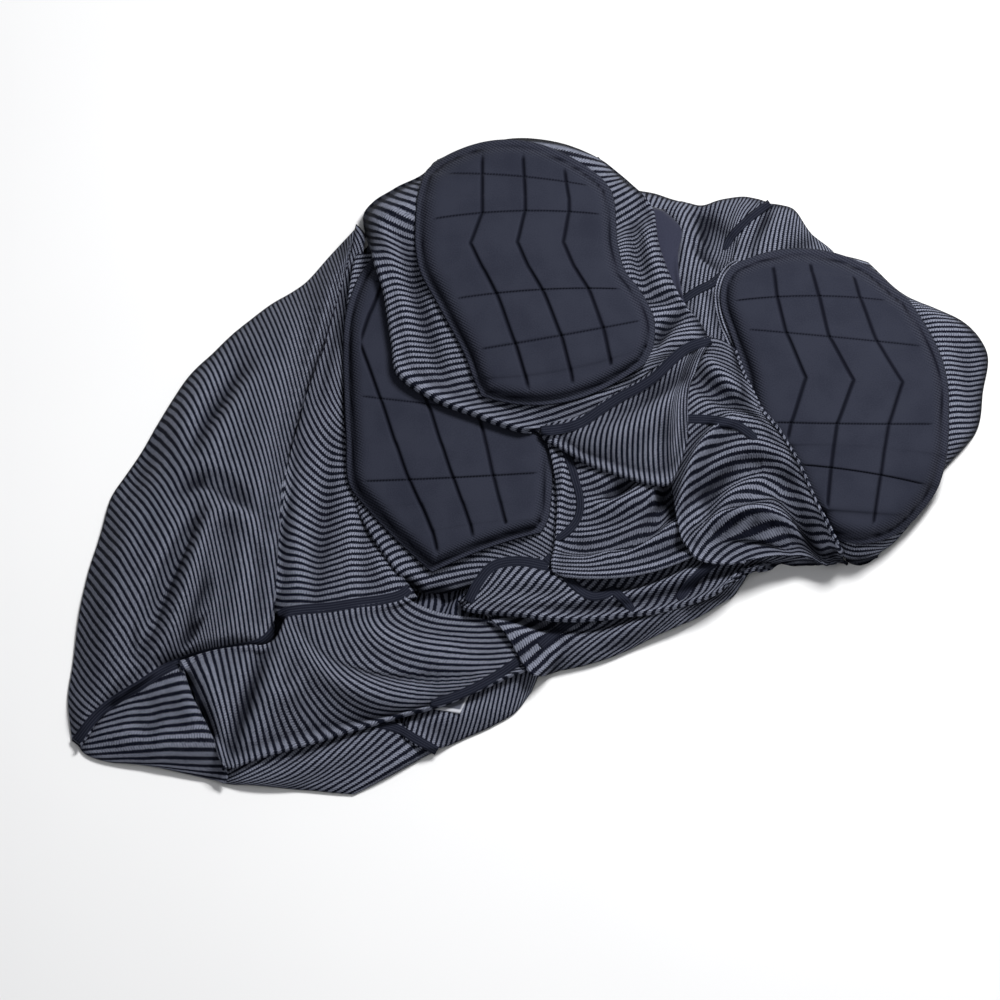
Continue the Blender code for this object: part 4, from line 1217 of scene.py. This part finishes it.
def layBand(name, width, points, line):
    rows = np.array(line, dtype=float)
    steps = np.hypot(*np.diff(rows, axis=0).T)
    stations = np.concatenate([[0.0], np.cumsum(steps)])
    count = max(6, int(stations[-1] / bandCloth["step"]))
    fromEnd = np.linspace(0, stations[-1], count + 1)
    middle = through(rows, stations, fromEnd)
    ahead = np.gradient(middle, axis=0)
    ahead /= np.linalg.norm(ahead, axis=1)[:, None]
    asides = np.linspace(-0.5, 0.5, bandCloth["across"])
    narrow = np.ones(count + 1)
    for pointed, distance in zip(points, (fromEnd, fromEnd[::-1])):
        if pointed:
            least = bandCloth["pointWidth"]
            wider = roundStep(distance / (width * bandCloth["pointLength"]))
            narrow = np.minimum(narrow, least + (1 - least) * wider)
    columns = middle[:, 0:1] - ahead[:, 1:2] * asides[None, :] * width * narrow[:, None]
    rowsAt = middle[:, 1:2] + ahead[:, 0:1] * asides[None, :] * width * narrow[:, None]
    floor = evened(spread(pile.heights(columns, rowsAt), 1), 2)
    crown = (1 - (2 * np.abs(asides)) ** 2) * bandCloth["crown"] + bandCloth["gap"]
    crown = crown[None, :] * (1.2 * narrow[:, None] - 0.2)
    grid = spots(columns, rowsAt, floor + crown * mm)
    piece, line, place = gridObject(name, grid)
    u = np.zeros(columns.shape) + asides[None, :] * width * span / mm
    v = np.zeros(columns.shape) + fromEnd[:, None] * span / mm
    if name in binding["names"]:
        u, v = v, u / binding["pitch"]
        # The binding gets no painted shade: its "open" share is 1 everywhere
        setAttribute(piece, "open", line, place, np.ones(u.shape))
    setUv(piece, line, place, u, v)
    pile.add(grid, gridFaces(*grid.shape[:2]))
    thicken(piece, bandCloth["wall"] * mm)
    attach(piece, "root")
    piece.data.materials.append(materials["striped" if name in binding["names"] else "seam"])
    return piece


label = {
    "corners": ((432, 692), (470, 693), (424, 707), (460, 713)),
    "width": 20,
    "height": 9,
    "hem": 1.2,
    "gap": 0.8,
    "wall": 0.7,
    "tape": (0.085, 0.09, 0.115),
    "border": (0.46, 0.47, 0.51),
}


def layLabel():
    corners = np.array(label["corners"], dtype=float)
    share = np.linspace(0, 1, 17)
    s, t = np.meshgrid(share, share)
    weights = ((1 - s) * (1 - t), s * (1 - t), (1 - s) * t, s * t)
    columns = sum(w * c[0] for w, c in zip(weights, corners))
    rowsAt = sum(w * c[1] for w, c in zip(weights, corners))
    heights = evened(spread(pile.heights(columns, rowsAt), 1), 4) + label["gap"] * mm
    points = spots(columns, rowsAt, heights)
    piece, line, place = gridObject("labelPatch", points)
    width, height = label["width"], label["height"]
    setUv(piece, line, place, s * width, t * height)
    edge = np.minimum(np.minimum(s, 1 - s) * width, np.minimum(t, 1 - t) * height)
    setAttribute(piece, "border", line, place, (edge < label["hem"]).astype(float))
    thicken(piece, label["wall"] * mm)
    pile.add(points, gridFaces(*points.shape[:2]))
    shader = Shader("labelTape", 0.6)
    shader.paint(shader.mix(shader.attribute("border"), label["tape"], label["border"]))
    piece.data.materials.append(shader.material)
    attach(piece, "root")
    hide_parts("label")
    return piece


hidden = {
    "voxel": 4.0 * mm,
    "layer": 4.6 * mm,
    "groove": 1.6 * mm,
    "inset": 0.5 * mm,
    "wander": 14 * mm,
    "stripe": 3.6 * mm,
}


def layHidden():
    # The folded layers below the sheets: one rounded form, its sides grooved
    # from layer to layer
    mesh = frame["nodes"]["hidden_layers"].data.copy()
    mesh.materials.clear()
    form = bmesh.new()
    form.from_mesh(mesh)
    bmesh.ops.remove_doubles(form, verts=form.verts, dist=0.01 * mm)
    form.to_mesh(mesh)
    form.free()
    piece = bpy.data.objects.new("hiddenLayers", mesh)
    bpy.context.scene.collection.objects.link(piece)
    bpy.ops.object.select_all(action="DESELECT")
    bpy.context.view_layer.objects.active = piece
    piece.select_set(True)
    even = piece.modifiers.new("even", "REMESH")
    even.mode = "VOXEL"
    even.voxel_size = hidden["voxel"]
    bpy.ops.object.modifier_apply(modifier="even")
    places = np.zeros(len(piece.data.vertices) * 3)
    normals = np.zeros_like(places)
    piece.data.vertices.foreach_get("co", places)
    piece.data.vertices.foreach_get("normal", normals)
    places = places.reshape(-1, 3)
    normals = normals.reshape(-1, 3)
    drift = np.array([noise.noise(Vector(place) / hidden["wander"]) for place in places])
    level = places[:, 2] / hidden["layer"] + drift * 0.5
    between = np.abs(np.cos(pi * level)) ** 6
    sideways = np.maximum(0.0, 1 - np.abs(normals[:, 2]) * 1.3)
    places -= normals * (hidden["inset"] + hidden["groove"] * between * sideways)[:, None]
    places[:, 2] = np.maximum(places[:, 2], 0.0)
    piece.data.vertices.foreach_set("co", places.ravel())
    piece.data.update()
    piece.data.shade_smooth()
    shader = Shader("hiddenKnitPaintedShade", 0.85)
    where = shader.node("ShaderNodeTexCoord", {}, output=3)
    split = shader.node("ShaderNodeSeparateXYZ", {"Vector": where})
    height = Wire(shader, split.socket.node.outputs[2])
    fuzz = shader.noise(where, 900.0, 2.0)
    drift = shader.noise(where, 30.0, 2.0)
    band = shader.wave((split + height * 0.6) / hidden["stripe"] + fuzz * 0.35 + drift * 2.5)
    pale = shader.ramp(band, 0.42, 0.62)
    # Painted shade: the pale stripes take the darker fleck tone instead of the sheets' light
    # stripe colour, a shaded copy of the striped knit
    shader.paint(shader.mix(pale, knit["dark"], knit["lightFleck"]))
    shader.emboss(fuzz, 0.0003, 0.6)
    piece.data.materials.append(shader.material)
    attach(piece, "root")
    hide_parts("hidden_layers")
    return piece


def addCamera():
    camera = bpy.data.cameras.new("camera")
    camera.type = "ORTHO"
    camera.ortho_scale = 1000 * span
    camera.clip_end = 20
    body = bpy.data.objects.new("camera", camera)
    bpy.context.scene.collection.objects.link(body)
    body.rotation_euler = (pi / 2 - heap["tilt"], 0, 0)
    centre = spots(np.array(500.0), np.array(500.0), np.array(0.0))
    body.location = Vector(centre) - viewDirection * 3
    bpy.context.scene.camera = body


studio = {
    "world": (0.93, 0.95, 1.0),
    "worldStrength": 0.20,
    "floor": (0.80, 0.80, 0.80),
    "floorShade": 0.985,
    # Lights: place in metres, size, watts
    "lights": {
        "key": ((0.55, 0.45, 1.35), 0.5, 30),
        "fill": ((-0.1, -1.0, 1.3), 0.9, 5),
    },
}


def addStudio():
    bpy.context.scene.view_settings.view_transform = "Standard"
    world = bpy.data.worlds.new("studio")
    bpy.context.scene.world = world
    world.use_nodes = True
    sky = world.node_tree.nodes["Background"]
    sky.inputs["Color"].default_value = (*studio["world"], 1)
    sky.inputs["Strength"].default_value = studio["worldStrength"]
    for name, (place, size, power) in studio["lights"].items():
        light = bpy.data.lights.new(name, "AREA")
        light.size = size
        light.energy = power
        body = bpy.data.objects.new(name, light)
        bpy.context.scene.collection.objects.link(body)
        body.location = place
        body.rotation_euler = (-Vector(place)).to_track_quat("-Z", "Y").to_euler()
    bpy.ops.object.select_all(action="DESELECT")
    bpy.ops.mesh.primitive_plane_add(size=8, location=(0, 0, 0))
    floor = bpy.context.object
    floor.name = "floor"
    shader = Shader("floorPaper", 0.9)
    place = shader.node("ShaderNodeTexCoord", {}, output=3)
    shade = shader.ramp(shader.noise(place, 6.0, 2.0), 0.2, 0.8)
    duller = tuple(studio["floorShade"] * value for value in studio["floor"])
    shader.paint(shader.mix(shade, studio["floor"], duller))
    floor.data.materials.append(shader.material)


materials = {
    "striped": stripedKnit(),
    "quilt": quiltedKnit(),
    "seam": flatlock(),
    "plain": plainKnit(),
}
padAfter = {data["after"]: name for name, data in pads.items()}


def main():
    addCamera()
    addStudio()
    print("set the camera, lights and floor")
    layHidden()
    print("grooved the hidden layers")
    for seed, (name, data) in enumerate(panels.items()):
        piece = layPanel(name, data, seed * 3.7)
        piece.data.materials.append(materials["striped" if data["pitch"] else "plain"])
        data["seams"] = []
        for band, (panel, width, points, line) in bands.items():
            if panel == name:
                data["seams"].append(layBand(band, width, points, line))
        if name in padAfter:
            layPad(padAfter[name], pads[padAfter[name]])
        if name == "labelFlap":
            data["seams"].append(layLabel())
    print("laid", len(panels), "panels,", len(bands), "seam bands and", len(pads), "pads")
    for data in panels.values():
        width, length, area = data["cut"]


main()
